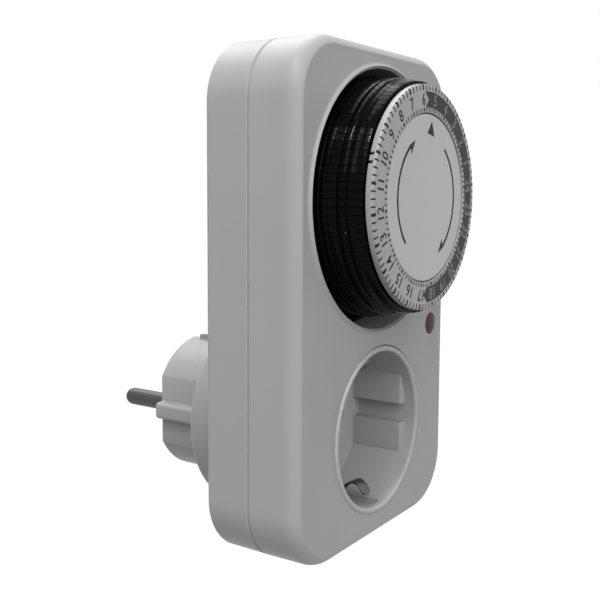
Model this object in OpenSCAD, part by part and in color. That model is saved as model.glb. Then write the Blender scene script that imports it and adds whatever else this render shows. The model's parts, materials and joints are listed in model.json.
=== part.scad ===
// Mechanical 24-hour plug-in timer switch with a front socket and a ring of quarter-hour tabs.
// The origin is the centre of the plug's face, between its two pins.
// +Y points along the pins, the dial and the socket face -Y, and +Z is up.

/* [Case] */
// Width of the case
case_w = 74.2; // [73:0.1:80]
// Distance from the dial's opening to the case's sides
side_margin = 4.75; // [4.6:0.05:5]
// Distance from the dial's opening to the case's top
top_margin = 4.35; // [4.3:0.05:6]
// Distance between the dial's opening and the socket's rim
middle_margin = 4.15; // [4:0.05:6]
// Distance from the socket's rim to the case's bottom
bottom_margin = 6; // [5.8:0.1:8]
// Depth of the case, from its front face to its back face
case_d = 25.5; // [25.5:0.1:28]
// Depth of the front shell, from the front face to the seam
front_d = 13.2; // [12:0.1:14]
// Radius of the case's four corners
corner_r = 15.2; // [12:0.1:17]
// Rounding of the edges around the front and back faces
edge_r = 1.6; // [1:0.1:2]
// Wall thickness of both shells
wall = 2.2; // [1.8:0.1:2.2]
// Height of the lip that locates the two shells
lip_h = 1.5; // [1:0.1:2]
// Thickness of that lip
lip_t = 1; // [0.8:0.1:1.2]
// Shank radius of the case screws
case_screw_r = 1.5; // [1.3:0.1:1.6]
// Distance of the case screws from the case's sides
case_screw_in = 7.6; // [7.4:0.1:8]

/* [Plug] */
// Length of the plug's body that enters the wall socket
plug_len = 17.5; // [16:0.1:17.5]
// Radius of the plug's body
plug_r = 18.5; // [18:0.1:18.6]
// Half of the width across the plug's two flats
plug_flat = 16.2; // [15.8:0.1:16.6]
// Half of the width across the guide ribs on the flats
plug_rib = 18.7; // [18.3:0.1:18.9]
// Height of a guide rib
plug_rib_h = 4.6; // [4:0.1:4.8]
// Radius of a plug pin
pin_r = 2.4; // [2.3:0.05:2.4]
// Length of a pin beyond the plug's face
pin_len = 19; // [18:0.1:19.5]
// Distance between the two pins, and between the two socket holes
pin_pitch = 19; // [18.5:0.1:19.5]
// Radius of the round boss on the back of the case
boss_r = 25.2; // [25:0.1:26]
// Depth of that boss
boss_d = 16; // [15.8:0.1:18]
// Width of the earth strips
earth_w = 5; // [4:0.1:5.5]

/* [Socket] */
// Radius of the socket's recess
recess_r = 19.75; // [19.6:0.05:20]
// Depth of the recess below the case's front face
recess_d = 17.5; // [17:0.1:18]
// Thickness of the recess's side wall
cup_wall = 1.5; // [1.2:0.1:1.6]
// Width of the rim around the recess
rim_w = 1.95; // [1.8:0.05:2.2]
// Height of the rim above the case's front face
rim_h = 0.5; // [0.2:0.1:0.8]
// Thickness of the recess's floor
floor_t = 2; // [1.6:0.1:2]
// Radius of the two contact holes in the floor
hole_r = 2.75; // [2.7:0.05:3]
// Bore radius of the contact sleeves
sleeve_r = 2.5; // [2.5:0.02:2.6]
// Length of the contact sleeves
sleeve_len = 15.6; // [14:0.1:16]
// Distance from the axis to the inner faces of the guide blocks
block_x = 16.5; // [16.3:0.1:16.8]
// Height of one guide block
block_h = 7.2; // [6:0.1:8]
// Height of the groove between two guide blocks
groove_h = 5.2; // [5:0.1:5.6]
// Distance from the axis to the crests of the two earth clips
clip_crest = 14; // [13.8:0.1:14.6]

/* [Dial] */
// Gap between the opening's wall and the tabs
tab_clear = 2.85; // [2.7:0.05:3]
// Radial thickness of a tab
tab_t = 3.15; // [3:0.05:3.3]
// Height of the printed ring's face above the case's front face
dial_h = 12.4; // [12.2:0.1:14]
// Thickness of the printed ring
ring_t = 2.9; // [2.7:0.1:3.1]
// Overhang of the printed ring over the tabs
ring_lap = 0.45; // [0.3:0.05:0.6]
// Radial width of the printed ring
ring_w = 6.65; // [6.4:0.05:7]
// Length of a tab along the dial's axis
tab_len = 16.3; // [15.8:0.1:16.4]
// Travel of a tab when it is pressed
tab_travel = 3; // [2.6:0.1:3]
// Gap between neighbouring tabs, as an angle in degrees
tab_gap_a = 0.36; // [0.3:0.02:0.5]

/* [Movement] */
// Module of the gear teeth
gear_m = 0.5; // [0.48:0.01:0.5]
// Thickness of the plate that carries the movement
frame_t = 1.4; // [1.2:0.1:1.4]
// Radius of the dial's axle
axle_r = 3; // [2.8:0.1:3.2]
// Radius of the motor's case
motor_r = 17; // [16.5:0.1:17.5]
// Gap between the motor and the case's back wall
motor_gap = 1.5; // [1.3:0.1:1.9]
// Thickness of the contact strips
strip_t = 0.6; // [0.5:0.05:0.7]
// Radius of the insulated wires
wire_r = 0.5; // [0.4:0.05:0.5]

/* [Hidden] */
$fn = 48;
NAMED = [
    "front_shell", "rear_shell", "case_screws", "plug_body", "plug_pins", "plug_earth_contacts",
    "socket_cup", "socket_floor", "socket_contacts", "socket_earth_clip", "live_in_bar",
    "live_out_bar", "neutral_bar", "moving_contact", "switch_base", "switch_lever", "lever_pin",
    "indicator_lens", "neon_lamp", "lamp_resistor", "wiring", "dial_bezel", "dial_drum",
    "dial_gear", "friction_spring", "dial_ring", "centre_plate", "dial_axle", "movement_plate",
    "plate_screws", "idler_gear", "idler_axle", "motor_can", "motor_coil", "motor_rotor",
    "motor_pinion"
];
HOURS = 24;

// Clearances
slip = 0.05;        // round running fits and screw holes
seat = 0.15;        // pieces that drop into an opening
run = 0.2;          // sliding and turning pieces
mesh_gap = 0.3;     // faces that turn past each other

// Places across the case
case_x = case_w / 2;
opening_r = case_x - side_margin;
tab_r = opening_r - tab_clear;
tab_in_r = tab_r - tab_t;
ring_r = tab_in_r + ring_lap;
ring_gap = 0.25;
plate_r = ring_r - ring_w - ring_gap;
dial_z = recess_r + rim_w + middle_margin + opening_r;
case_top = dial_z + opening_r + top_margin;
case_bottom = recess_r + rim_w + bottom_margin;
cup_r = recess_r + cup_wall;
clip_wall_z = recess_r - 0.95;
slot_end_z = recess_r + rim_w + 2;

// Levels along Y
y_shoulder = -plug_len;
y_back = y_shoulder - boss_d;
y_front = y_back - case_d;
y_seam = y_front + front_d;
y_in_front = y_front + wall;
y_in_back = y_back - wall;
y_floor = y_front + recess_d;
y_floor_back = y_floor + floor_t;
function out(h) = y_front - h;

// Plug and contact levels
flange_t = 1;
flange_r = 21.5;
boss_wall = 2;
pin_shank_r = 2;
y_boss_in = y_shoulder - boss_wall;
y_flange = y_boss_in - flange_t;
y_rivet = y_flange - strip_t;
rivet_t = 0.5;
pin_x = pin_pitch / 2;
pin_seat = 0.1;
sleeve_t = 0.55;
sleeve_out_r = sleeve_r + sleeve_t;
y_sleeve = y_floor_back + seat;
strip_w = 4;

// Dial levels, measured outwards from the front face
h_ring = dial_h - ring_t;
web_t = 1.8;
h_tab_top = h_ring - run;
h_tab_low = h_tab_top - tab_len;
h_drum_low = h_tab_low + 0.1;
drum_r = tab_in_r - run;
slot_r = drum_r - 1.15;
key_w = 0.9;
slot_end = 0.7;
h_slot_low = h_drum_low + slot_end;
h_slot_top = h_slot_low + 8.4 + tab_travel;
key_len = h_slot_top - h_slot_low - tab_travel - 2 * run;
rim_in_r = slot_r - 1.8;
TABS = 96;
tab_a = 360 / TABS;

// Gears
dial_teeth = 68;
idler_small = 14;
idler_large = 48;
output_teeth = 12;
pressure_a = 25;
tooth_out = 0.8;
tooth_in = 1.05;
backlash = 0.16;
gear_t = 1.6;
wheel_t = 1.2;
y_gear = out(h_drum_low) + run;
y_gear_back = y_gear + gear_t;
y_wheel = out(h_tab_low) + tab_travel + 0.4;
y_wheel_back = y_wheel + wheel_t;
y_plate = y_wheel_back + 0.8;
y_plate_back = y_plate + frame_t;
motor_d = y_in_back - y_plate_back - motor_gap;
idler_a = 60;
idler_d = gear_m * (dial_teeth + idler_small) / 2;
idler_x = idler_d * cos(idler_a);
idler_z = dial_z + idler_d * sin(idler_a);
output_d = gear_m * (idler_large + output_teeth) / 2;
output_a = 183;
output_x = idler_x + output_d * cos(output_a);
output_z = idler_z + output_d * sin(output_a);
idler_axle_r = 1;
output_shaft_r = 1;
hub_r = 5.5;
spring_t = 0.4;
shoulder_r = 4.5;
nose_r = 2;
nose_len = 1.6;

// Switch, at the left of the dial
lever_x = -tab_in_r - 1.15;
lever_w = 2;
lever_hub_r = 2.2;
lever_pin_r = 0.8;
tip_y = out(h_tab_low) + tab_travel + run;
pivot_y = tip_y + 3.3;
pivot_z = dial_z - 14.2;
leaf_z = pivot_z - 18;
leaf_foot_z = leaf_z - 12;
live_foot_z = leaf_z - 6.5;
contact_z = pivot_z - 8.5;
contact_r = 1.3;
contact_t = 0.8;
leaf_t = 0.4;
leaf_w = 3;
pad_y = pivot_y - 0.85;
leaf_y = pad_y - seat;
fixed_y = leaf_y - leaf_t - 2 * contact_t - slip;
terminal_y = leaf_y - leaf_t;
ear_t = 1.3;
base_x0 = lever_x - 4;
base_x1 = lever_x + 3;
base_floor_t = 2.6;
bar_y = y_floor_back + 1.3;
bar_back_y = bar_y + 1.3;

// Movement plate and motor
plate_x0 = base_x1 + 2.5;
plate_x1 = case_x - wall - 7.9;
plate_down = 28.2;
plate_up = 28.8;
plate_z0 = dial_z - plate_down;
plate_z1 = dial_z + plate_up;
plate_corner = 5;
post_r = 3;
post_screw_len = 6;
post_in_x = 3.5;
post_in_z = 3.8;
post_low_x = 13;
POSTS = [
    [plate_x0 + post_in_x, plate_z1 - post_in_z], [plate_x1 - post_in_x, plate_z1 - post_in_z],
    [-post_low_x, plate_z0 + post_in_z], [post_low_x, plate_z0 + post_in_z]
];
plate_screw_r = 1.2;
plate_head_r = 2.2;
plate_head_t = 0.7;
motor_z = dial_z + 7.8;
can_t = 0.8;
coil_in_r = 9.3;
chamber_d = 3;
rotor_r = 8.4;
rotor_shaft_r = 0.8;
ear_x = motor_r + 2.6;
ear_r = 3;

// Indicator
lens_x = case_x - 8.8;
lens_z = dial_z - 34.2;
lens_r = 2.8;
lens_flange_r = 3.7;
lens_tube_r = 3.2;
lens_bore_r = 2.25;
lens_dome = 0.35;
lamp_r = 2.1;
lamp_len = 8;
lead_r = 0.3;
lead_root = 0.5;
lead_x = 0.9;

// Places of the case's screws
case_screw_x = case_x - case_screw_in;
SCREWS = [for (x = [-1, 1], z = [case_top - case_screw_in, case_screw_in - case_bottom])
    [x * case_screw_x, z]];
screw_head_r = 2.8;
screw_head_t = 2;
screw_sink = 5;
boss_in_r = boss_r - 2.4;

// ---- Helpers ----

// A flat outline in X and Z, given depth from y0 to y1
module slab(y0, y1) {
    translate([0, y1, 0]) rotate([90, 0, 0]) linear_extrude(y1 - y0) children();
}

// A flat outline in Y and Z, given width from x0 to x1
module across(x0, x1) {
    translate([x0, 0, 0]) rotate([90, 0, 90]) linear_extrude(x1 - x0) children();
}

// A cylinder along Y
module rod(r, y0, y1, x = 0, z = 0) {
    translate([x, y0, z]) rotate([-90, 0, 0]) cylinder(r = r, h = y1 - y0);
}

// A cylinder along X
module rod_x(r, x0, x1, y, z) {
    translate([x0, y, z]) rotate([0, 90, 0]) cylinder(r = r, h = x1 - x0);
}

// A profile in radius and Y, turned about the Y axis
module spun() {
    rotate([-90, 0, 0]) rotate_extrude() children();
}

// A box between two corners
module block(low, high) {
    translate(low) cube(high - low);
}

// A rectangle with round corners
module rounded(x0, x1, z0, z1, r) {
    translate([x0 + r, z0]) square([x1 - x0 - 2 * r, z1 - z0]);
    translate([x0, z0 + r]) square([x1 - x0, z1 - z0 - 2 * r]);
    for (x = [x0 + r, x1 - r], z = [z0 + r, z1 - r]) translate([x, z]) circle(r);
}

// The case's outline, taken in by a margin
module case_outline(inset = 0) {
    rounded(inset - case_x, case_x - inset, inset - case_bottom, case_top - inset,
        corner_r - inset);
}

// An eight-sided wire that runs straight between the points of a list
function heading(p, i) = let (last = len(p) - 1)
    i == 0 ? unit(p[1] - p[0]) :
    i == last ? unit(p[last] - p[last - 1]) :
    unit(unit(p[i + 1] - p[i]) + unit(p[i] - p[i - 1]));
function across_wire(p, i) = let (
    t = heading(p, i),
    before = i == 0 ? (abs(t.x) > 0.8 ? [0, 0, 1] : [1, 0, 0]) : across_wire(p, i - 1))
    unit(before - (before * t) * t);
module wire(points, r) {
    sides = 8;
    last = len(points) - 1;
    polyhedron(
        points = [for (i = [0:last], k = [0:sides - 1]) let (
            a = across_wire(points, i),
            b = cross(heading(points, i), a),
            turn = k * 360 / sides)
            points[i] + r * (cos(turn) * a + sin(turn) * b)],
        faces = concat(
            [[for (k = [0:sides - 1]) k]],
            [[for (k = [sides - 1:-1:0]) last * sides + k]],
            [for (i = [0:last - 1], k = [0:sides - 1]) let (n = (k + 1) % sides)
                [i * sides + k, (i + 1) * sides + k, (i + 1) * sides + n, i * sides + n]]));
}

// Unit direction, side direction and outline of a strip bent along a list of points
function unit(v) = v / norm(v);
function side(p, i) = let (t = unit(p[min(i + 1, len(p) - 1)] - p[max(i - 1, 0)])) [-t.y, t.x];
function ribbon(p, t) = concat(
    [for (i = [0:len(p) - 1]) p[i] + side(p, i) * t / 2],
    [for (i = [len(p) - 1:-1:0]) p[i] - side(p, i) * t / 2]);

// Involute gear outline: a tooth's half angle at radius r shrinks along the involute
function inv(a) = tan(a) * 180 / PI - a;
function half_tooth(n, r) = let (
    pitch = gear_m * n / 2,
    base = pitch * cos(pressure_a),
    at = max(r, base))
    90 / n - backlash * 45 / (PI * pitch) + inv(pressure_a) - inv(acos(base / at));
function polar(r, a) = [r * cos(a), r * sin(a)];
function gear_points(n) = let (
    pitch = gear_m * n / 2,
    base = pitch * cos(pressure_a),
    root = pitch - tooth_in * gear_m,
    tip = pitch + tooth_out * gear_m,
    steps = [root, max(root, base) + 0.01, pitch, tip])
    [for (i = [0:n - 1], s = [0:2 * len(steps) - 1])
        let (k = s < len(steps) ? s : 2 * len(steps) - 1 - s,
            sign = s < len(steps) ? -1 : 1)
        polar(steps[k], i * 360 / n + sign * half_tooth(n, steps[k]))];

// Turn of a second gear that puts its tooth gap on the first gear's tooth
function meshed(n1, turn1, n2, line) = let (phase = (line - turn1) * n1 / 360)
    line + 180 - (0.5 - phase) * 360 / n2;
idler_turn = meshed(dial_teeth, 0, idler_small, idler_a);
output_turn = meshed(idler_large, idler_turn, output_teeth, output_a);

module gear(n, turn, y0, y1, x, z) {
    translate([x, 0, z]) slab(y0, y1) rotate(turn) polygon(gear_points(n));
}

// ---- Case ----

// Section of the case's edge, with the outer face at y = 0
module edge_section(depth) {
    square([corner_r - edge_r, depth]);
    translate([0, edge_r]) square([corner_r, depth - edge_r]);
    translate([corner_r - edge_r, edge_r]) circle(edge_r);
}

// One solid half of the case, with its outer face at y = 0
module half_case(depth) {
    low = corner_r - case_bottom;
    high = case_top - corner_r;
    side_x = case_x - corner_r;
    block([-side_x, 0, low], [side_x, depth, high]);
    for (x = [-side_x, side_x], z = [low, high]) {
        translate([x, 0, z]) spun() edge_section(depth);
    }
    for (m = [0, 1]) mirror([m, 0, 0]) {
        translate([side_x, 0, low]) linear_extrude(high - low) edge_section(depth);
    }
    translate([side_x, 0, high]) rotate([0, -90, 0]) linear_extrude(2 * side_x)
        edge_section(depth);
    translate([side_x, 0, low]) mirror([0, 0, 1]) rotate([0, -90, 0])
        linear_extrude(2 * side_x) edge_section(depth);
}

module front_shell() {
    color("gainsboro") difference() {
        union() {
            difference() {
                translate([0, y_front, 0]) half_case(front_d);
                slab(y_in_front, y_seam + 1) case_outline(wall);
            }
            for (s = SCREWS) rod(case_screw_r + 1.8, y_in_front - 0.5, y_seam, s.x, s.y);
        }
        rod(opening_r, y_front - 1, y_in_front + 1, 0, dial_z);
        rod(recess_r + rim_w + seat, y_front - 1, y_in_front + 1);
        rod(lens_r + seat, y_front - 1, y_in_front + 1, lens_x, lens_z);
        for (s = SCREWS) rod(case_screw_r + slip, y_in_front + 1, y_seam + 1, s.x, s.y);
    }
}

module rear_shell() {
    color("gainsboro") difference() {
        union() {
            difference() {
                union() {
                    translate([0, y_back, 0]) mirror([0, 1, 0]) half_case(case_d - front_d);
                    spun() boss_section();
                }
                slab(y_seam - 1, y_in_back) case_outline(wall);
                rod(boss_in_r, y_in_back - 1, y_boss_in);
                slab(y_boss_in - 1, y_shoulder + 1) plug_outline(seat);
            }
            slab(y_seam - lip_h, y_seam + wall) difference() {
                case_outline(wall + seat);
                case_outline(wall + seat + lip_t);
            }
            slab(y_seam, y_seam + wall) difference() {
                case_outline(wall - seat);
                case_outline(wall + seat + lip_t);
            }
            for (s = SCREWS) rod(screw_head_r + 1.4, y_seam, y_in_back + 0.5, s.x, s.y);
            for (p = POSTS) {
                rod(post_r, y_plate_back, y_in_back + 0.5, p.x, p.y);
            }
        }
        for (s = SCREWS) {
            rod(case_screw_r + slip, y_seam - lip_h - 1, y_back, s.x, s.y);
            rod(screw_head_r + seat, y_back - screw_sink, y_back + 1, s.x, s.y);
            rod(case_screw_r + 1.8 + seat, y_seam - lip_h - 1, y_seam, s.x, s.y);
        }
        for (p = POSTS) {
            rod(plate_screw_r + slip, y_plate_back - 1, y_plate_back + post_screw_len, p.x, p.y);
        }
    }
}

// Section of the boss, with a rounded outer edge
module boss_section() {
    translate([0, y_in_back]) square([boss_r, y_shoulder - y_in_back - edge_r]);
    translate([0, y_in_back]) square([boss_r - edge_r, y_shoulder - y_in_back]);
    translate([boss_r - edge_r, y_shoulder - edge_r]) circle(edge_r);
}

module case_screws() {
    color("silver") for (s = SCREWS) difference() {
        union() {
            rod(case_screw_r, y_in_front + 2, y_back - screw_sink, s.x, s.y);
            rod(screw_head_r, y_back - screw_sink, y_back - screw_sink + screw_head_t,
                s.x, s.y);
        }
        for (a = [0, 90]) translate([s.x, y_back - screw_sink + screw_head_t, s.y])
            rotate([0, a, 0]) cube([3.4, 2.2, 0.7], center = true);
    }
}

// ---- Plug ----

// Outline of the plug's body, grown by a clearance
module plug_outline(grow = 0) {
    intersection() {
        circle(plug_r + grow);
        square(2 * [plug_flat + grow, plug_r + 1], center = true);
    }
    square([2 * (plug_rib + grow), plug_rib_h + 2 * grow], center = true);
}

slot_z = plug_r - 2.1;

module plug_body() {
    color("gainsboro") difference() {
        union() {
            intersection() {
                slab(y_flange, 0) plug_outline();
                spun() polygon([[0, y_flange], [plug_rib + 1, y_flange],
                    [plug_rib + 1, -1.8], [plug_rib - 0.8, 0], [0, 0]]);
            }
            rod(flange_r, y_flange, y_boss_in);
        }
        for (x = [-pin_x, pin_x]) {
            rod(pin_shank_r + slip, y_flange - 1, 1, x);
            rod(pin_r + slip, -pin_seat, 1, x);
        }
        for (m = [0, 1]) mirror([0, 0, m])
            block([-earth_w / 2 - seat, y_flange - 1, slot_z],
                [earth_w / 2 + seat, 1, flange_r + 1]);
    }
}

module plug_pins() {
    color("silver") for (x = [-pin_x, pin_x]) translate([x, 0, 0]) spun() {
        translate([0, y_rivet]) square([pin_shank_r, -y_rivet]);
        translate([0, y_rivet - rivet_t]) square([pin_shank_r + 0.6, rivet_t]);
        translate([0, -pin_seat]) square([pin_r, pin_len - pin_r + pin_seat]);
        translate([0, pin_len - pin_r]) intersection() {
            circle(pin_r);
            square(pin_r);
        }
    }
}

// Side strips bulge a little beyond their slots and join behind the plug's flange
module plug_earth_contacts() {
    tip_y = -3;
    bulge = 0.9;
    z0 = slot_z + 0.1 + strip_t / 2;
    strip = [for (i = [0:12])
        [y_flange + (tip_y - y_flange) * i / 12, z0 + bulge * pow(sin(15 * i), 2)]];
    color("silver") {
        across(-earth_w / 2, earth_w / 2) {
            polygon(concat([[y_rivet, z0 + strip_t / 2]], ribbon(strip, strip_t),
                [[y_rivet, z0 - strip_t / 2]]));
            mirror([0, 1]) polygon(concat([[y_rivet, z0 + strip_t / 2]],
                ribbon(strip, strip_t), [[y_rivet, z0 - strip_t / 2]]));
        }
        block([-earth_w / 2, y_rivet, -z0], [earth_w / 2, y_flange, z0]);
    }
}

// ---- Socket ----

module socket_cup() {
    rim_r = recess_r + rim_w;
    flare = 0.55;
    slot_w = earth_w + 1;
    color("gainsboro") difference() {
        union() {
            spun() polygon([
                [recess_r, y_floor], [recess_r, out(rim_h - flare)],
                [recess_r + flare, out(rim_h)], [rim_r - 2 * flare, out(rim_h)],
                [rim_r, out(rim_h - 2 * flare)], [rim_r, y_in_front],
                [rim_r + 1.4, y_in_front], [rim_r + 1.4, y_in_front + 1],
                [cup_r, y_in_front + 1], [cup_r, y_floor]]);
            for (m = [0, 1], z = [-1, 1]) mirror([m, 0, 0]) guide_block(z);
        }
        for (m = [0, 1]) mirror([0, 0, m])
            block([-slot_w / 2, out(-1.3), clip_crest], [slot_w / 2, y_floor + 1, slot_end_z]);
    }
}

// A block beside the groove that takes the plug's guide rib; its front end is bevelled
module guide_block(sign) {
    z0 = sign * (groove_h / 2 + block_h / 2);
    wall_x = recess_r + cup_wall / 2;
    intersection() {
        translate([0, 0, z0 - block_h / 2]) linear_extrude(block_h) polygon([
            [block_x, out(-3)], [wall_x, out(-1.2)], [wall_x, y_floor], [block_x, y_floor]]);
        rod(wall_x, y_front, y_floor);
    }
}

module socket_floor() {
    slot_w = earth_w + 1;
    color("gainsboro") difference() {
        rod(cup_r, y_floor, y_floor_back);
        for (x = [-pin_x, pin_x]) rod(hole_r, y_floor - 1, y_floor_back + 1, x);
        for (m = [0, 1]) mirror([0, 0, m])
            block([-slot_w / 2, y_floor - 1, clip_wall_z - 1.8],
                [slot_w / 2, y_floor_back + 1, slot_end_z]);
    }
}

// Two slotted sleeves that grip the pins
module socket_contacts() {
    color("goldenrod") for (x = [-pin_x, pin_x]) difference() {
        rod(sleeve_out_r, y_sleeve, y_sleeve + sleeve_len, x);
        rod(sleeve_r, y_sleeve - 1, y_sleeve + sleeve_len + 1, x);
        block([x - 0.4, y_sleeve + 2.5, -5], [x + 0.4, y_sleeve + sleeve_len - 2.5, 0]);
    }
}

// Each arm rises from the floor to a crest near the mouth and curls back to the wall
module socket_earth_clip() {
    tip = 1.9;
    foot = 14;
    y0 = y_floor_back + seat + strip_t / 2;
    rise = clip_wall_z - clip_crest - strip_t / 2;
    arm = concat(
        [for (u = [0:1 / 18:1.001])
            [out(-tip - (foot - tip) * u), clip_wall_z - rise * sin(180 * pow(u, 0.62))]],
        [[y0, clip_wall_z], [y0, 0]]);
    link_y = y_flange - strip_t - slip;
    color("silver") {
        across(-earth_w / 2 + 0.4, earth_w / 2 - 0.4) {
            polygon(ribbon(arm, strip_t));
            mirror([0, 1]) polygon(ribbon(arm, strip_t));
        }
        block([-earth_w / 2, y0, -strip_t / 2], [earth_w / 2, link_y, strip_t / 2]);
    }
}

// ---- Contact strips ----

// From the left pin to the fixed contact beside the lever
module live_in_bar() {
    x0 = base_x0 + 0.6;
    x1 = x0 + 1.5;
    foot_z = live_foot_z;
    turn_x = -pin_x - sleeve_out_r - 2.4;
    y1 = fixed_y - strip_t;
    color("peru") {
        block([x0, y1, contact_z - 2], [lever_x + 1, fixed_y, contact_z + 2]);
        block([x0, y1, foot_z], [x1, fixed_y, contact_z]);
        block([x0, y1, foot_z], [x1, bar_y + strip_t, foot_z + strip_t]);
        block([x0, bar_y, foot_z - strip_w / 2], [turn_x, bar_y + strip_t, foot_z]);
        block([turn_x - strip_w, bar_y, -strip_w / 2], [turn_x, bar_y + strip_t, foot_z]);
        block([turn_x - strip_t, bar_y, -strip_w / 2], [turn_x, y_flange, strip_w / 2]);
        rod(contact_r, fixed_y, fixed_y + contact_t, lever_x, contact_z);
        pin_strip(-1, -turn_x);
    }
}

// Strip that is riveted under a pin's head and runs out to one side
module pin_strip(sign, reach) {
    difference() {
        union() {
            block([min(sign * reach, sign * pin_x), y_rivet, -strip_w / 2],
                [max(sign * reach, sign * pin_x), y_flange, strip_w / 2]);
            rod(pin_shank_r + 1.2, y_rivet, y_flange, sign * pin_x);
        }
        rod(pin_shank_r + slip, y_rivet - 1, y_flange + 1, sign * pin_x);
    }
}

// From the root of the contact leaf to the left sleeve
module live_out_bar() {
    x0 = lever_x - leaf_w / 2;
    x1 = lever_x + leaf_w / 2;
    foot_z = leaf_foot_z;
    run_z = 5;
    color("peru") {
        block([x0, terminal_y, foot_z], [x1, terminal_y + strip_t, leaf_z - seat]);
        block([x0, terminal_y, foot_z], [x1, bar_back_y + strip_t, foot_z + strip_t]);
        block([x0, bar_back_y, run_z], [x1, bar_back_y + strip_t, foot_z + strip_t]);
        block([x0, bar_back_y, run_z], [1.5 - pin_x, bar_back_y + strip_t, run_z + 3]);
        block([-1.5 - pin_x, bar_back_y, sleeve_out_r],
            [1.5 - pin_x, bar_back_y + strip_t, run_z + 3]);
    }
}

// From the right pin to the right sleeve
module neutral_bar() {
    turn_x = pin_x + sleeve_out_r + 2.4;
    y1 = y_floor_back + 9;
    color("peru") {
        pin_strip(1, turn_x);
        block([turn_x - strip_t, y1, -strip_w / 2], [turn_x, y_flange, strip_w / 2]);
        block([pin_x + sleeve_out_r, y1, -strip_w / 2], [turn_x, y1 + strip_t, strip_w / 2]);
    }
}

// Sprung blade with a contact button, which bends from its root
module moving_contact() {
    x0 = lever_x - leaf_w / 2;
    color("peru") {
        block([x0, leaf_y - leaf_t, leaf_z], [x0 + leaf_w, leaf_y, contact_z + 2.1]);
        rod(contact_r, leaf_y - leaf_t - contact_t, leaf_y - leaf_t, lever_x, contact_z);
    }
}

// ---- Switch ----

module switch_base() {
    ear_y = pivot_y - 1.6;
    floor_y = y_in_back - base_floor_t;
    top_z = pivot_z + 2.5;
    root_y = fixed_y - strip_t - 0.7;
    root_z = leaf_z - 5;
    color("ivory") difference() {
        union() {
            block([base_x0, root_y, root_z], [base_x1, y_in_back, leaf_z]);
            block([base_x0, floor_y, root_z], [base_x1, y_in_back, top_z]);
            for (x = [base_x0, base_x1 - ear_t])
                block([x, ear_y, pivot_z - 2.5], [x + ear_t, y_in_back, top_z]);
        }
        rod_x(lever_pin_r + 0.02, base_x0 - 1, base_x1 + 1, pivot_y, pivot_z);
        block([base_x0 + 0.5, fixed_y - strip_t - slip, root_z - 1],
            [base_x0 + 2.2, fixed_y + slip, leaf_z + 1]);
        block([lever_x - leaf_w / 2 - slip, terminal_y - slip, root_z - 1],
            [lever_x + leaf_w / 2 + slip, terminal_y + strip_t + slip, leaf_z + 1]);
    }
}

// Rocker: its tip rides under the tabs and its tail presses the contact leaf
module switch_lever() {
    hub_x0 = base_x0 + ear_t + run;
    hub_x1 = base_x1 - ear_t - run;
    color("orange") difference() {
        union() {
            across(lever_x - lever_w / 2, lever_x + lever_w / 2) {
                polygon([
                    [pivot_y - 1.5, pivot_z + 1], [tip_y + 0.9, dial_z - 1.7],
                    [tip_y, dial_z - 1], [tip_y, dial_z + 1], [tip_y + 1.6, dial_z + 1],
                    [pivot_y + 0.5, pivot_z + 2]]);
                polygon([
                    [pivot_y - 0.3, pivot_z], [pivot_y + 0.3, pivot_z - 6],
                    [pad_y, pivot_z - 6.7], [pad_y, pivot_z - 7.7],
                    [pad_y + 1.2, pivot_z - 7.7], [pivot_y + 1.5, pivot_z]]);
            }
            rod_x(lever_hub_r, hub_x0, hub_x1, pivot_y, pivot_z);
        }
        rod_x(lever_pin_r + slip, hub_x0 - 1, hub_x1 + 1, pivot_y, pivot_z);
    }
}

module lever_pin() {
    color("silver") rod_x(lever_pin_r, base_x0 - 0.4, base_x1 + 0.4, pivot_y, pivot_z);
}

// ---- Indicator ----

module indicator_lens() {
    color("firebrick") translate([lens_x, 0, lens_z]) spun() polygon([
        [0, out(lens_dome)], [lens_r * 0.55, out(lens_dome * 0.8)],
        [lens_r * 0.86, out(lens_dome * 0.35)], [lens_r, out(-0.2)], [lens_r, y_in_front],
        [lens_flange_r, y_in_front], [lens_flange_r, y_in_front + 0.8],
        [lens_tube_r, y_in_front + 0.8], [lens_tube_r, y_in_front + 5.5],
        [lens_bore_r, y_in_front + 5.5], [lens_bore_r, y_in_front], [0, y_in_front]]);
}

lamp_y = y_in_front + 0.4;
lead_y = lamp_y + lamp_len + 1.5;

module neon_lamp() {
    color("orange") translate([lens_x, 0, lens_z]) {
        spun() {
            translate([0, lamp_y + lamp_r]) square([lamp_r, lamp_len - lamp_r]);
            translate([0, lamp_y + lamp_r]) intersection() {
                circle(lamp_r);
                translate([0, -lamp_r]) square(2 * lamp_r);
            }
        }
        for (x = [-lead_x, lead_x]) rod(lead_r, lamp_y + lamp_len - lead_root, lead_y,
            x);
    }
}

module lamp_resistor() {
    r = 1.1;
    x = lens_x + lead_x;
    y = bar_y - 3.2;
    top = [[x, lead_y, lens_z], [x, lead_y + 0.6, lens_z], [x, y, lens_z - 3], [x, y, 17]];
    bar_x = pin_x + sleeve_out_r + 2.4 + lead_r;
    low = [[x, y, 11], [x - 1, bar_y - 0.5, 5], [bar_x + 2, bar_y, 1],
        [bar_x, y_floor_back + 10.5, 0.5]];
    color("tan") translate([x, y, 11]) cylinder(r = r, h = 6);
    color("silver") {
        wire(top, lead_r);
        wire(low, lead_r);
    }
}

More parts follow.
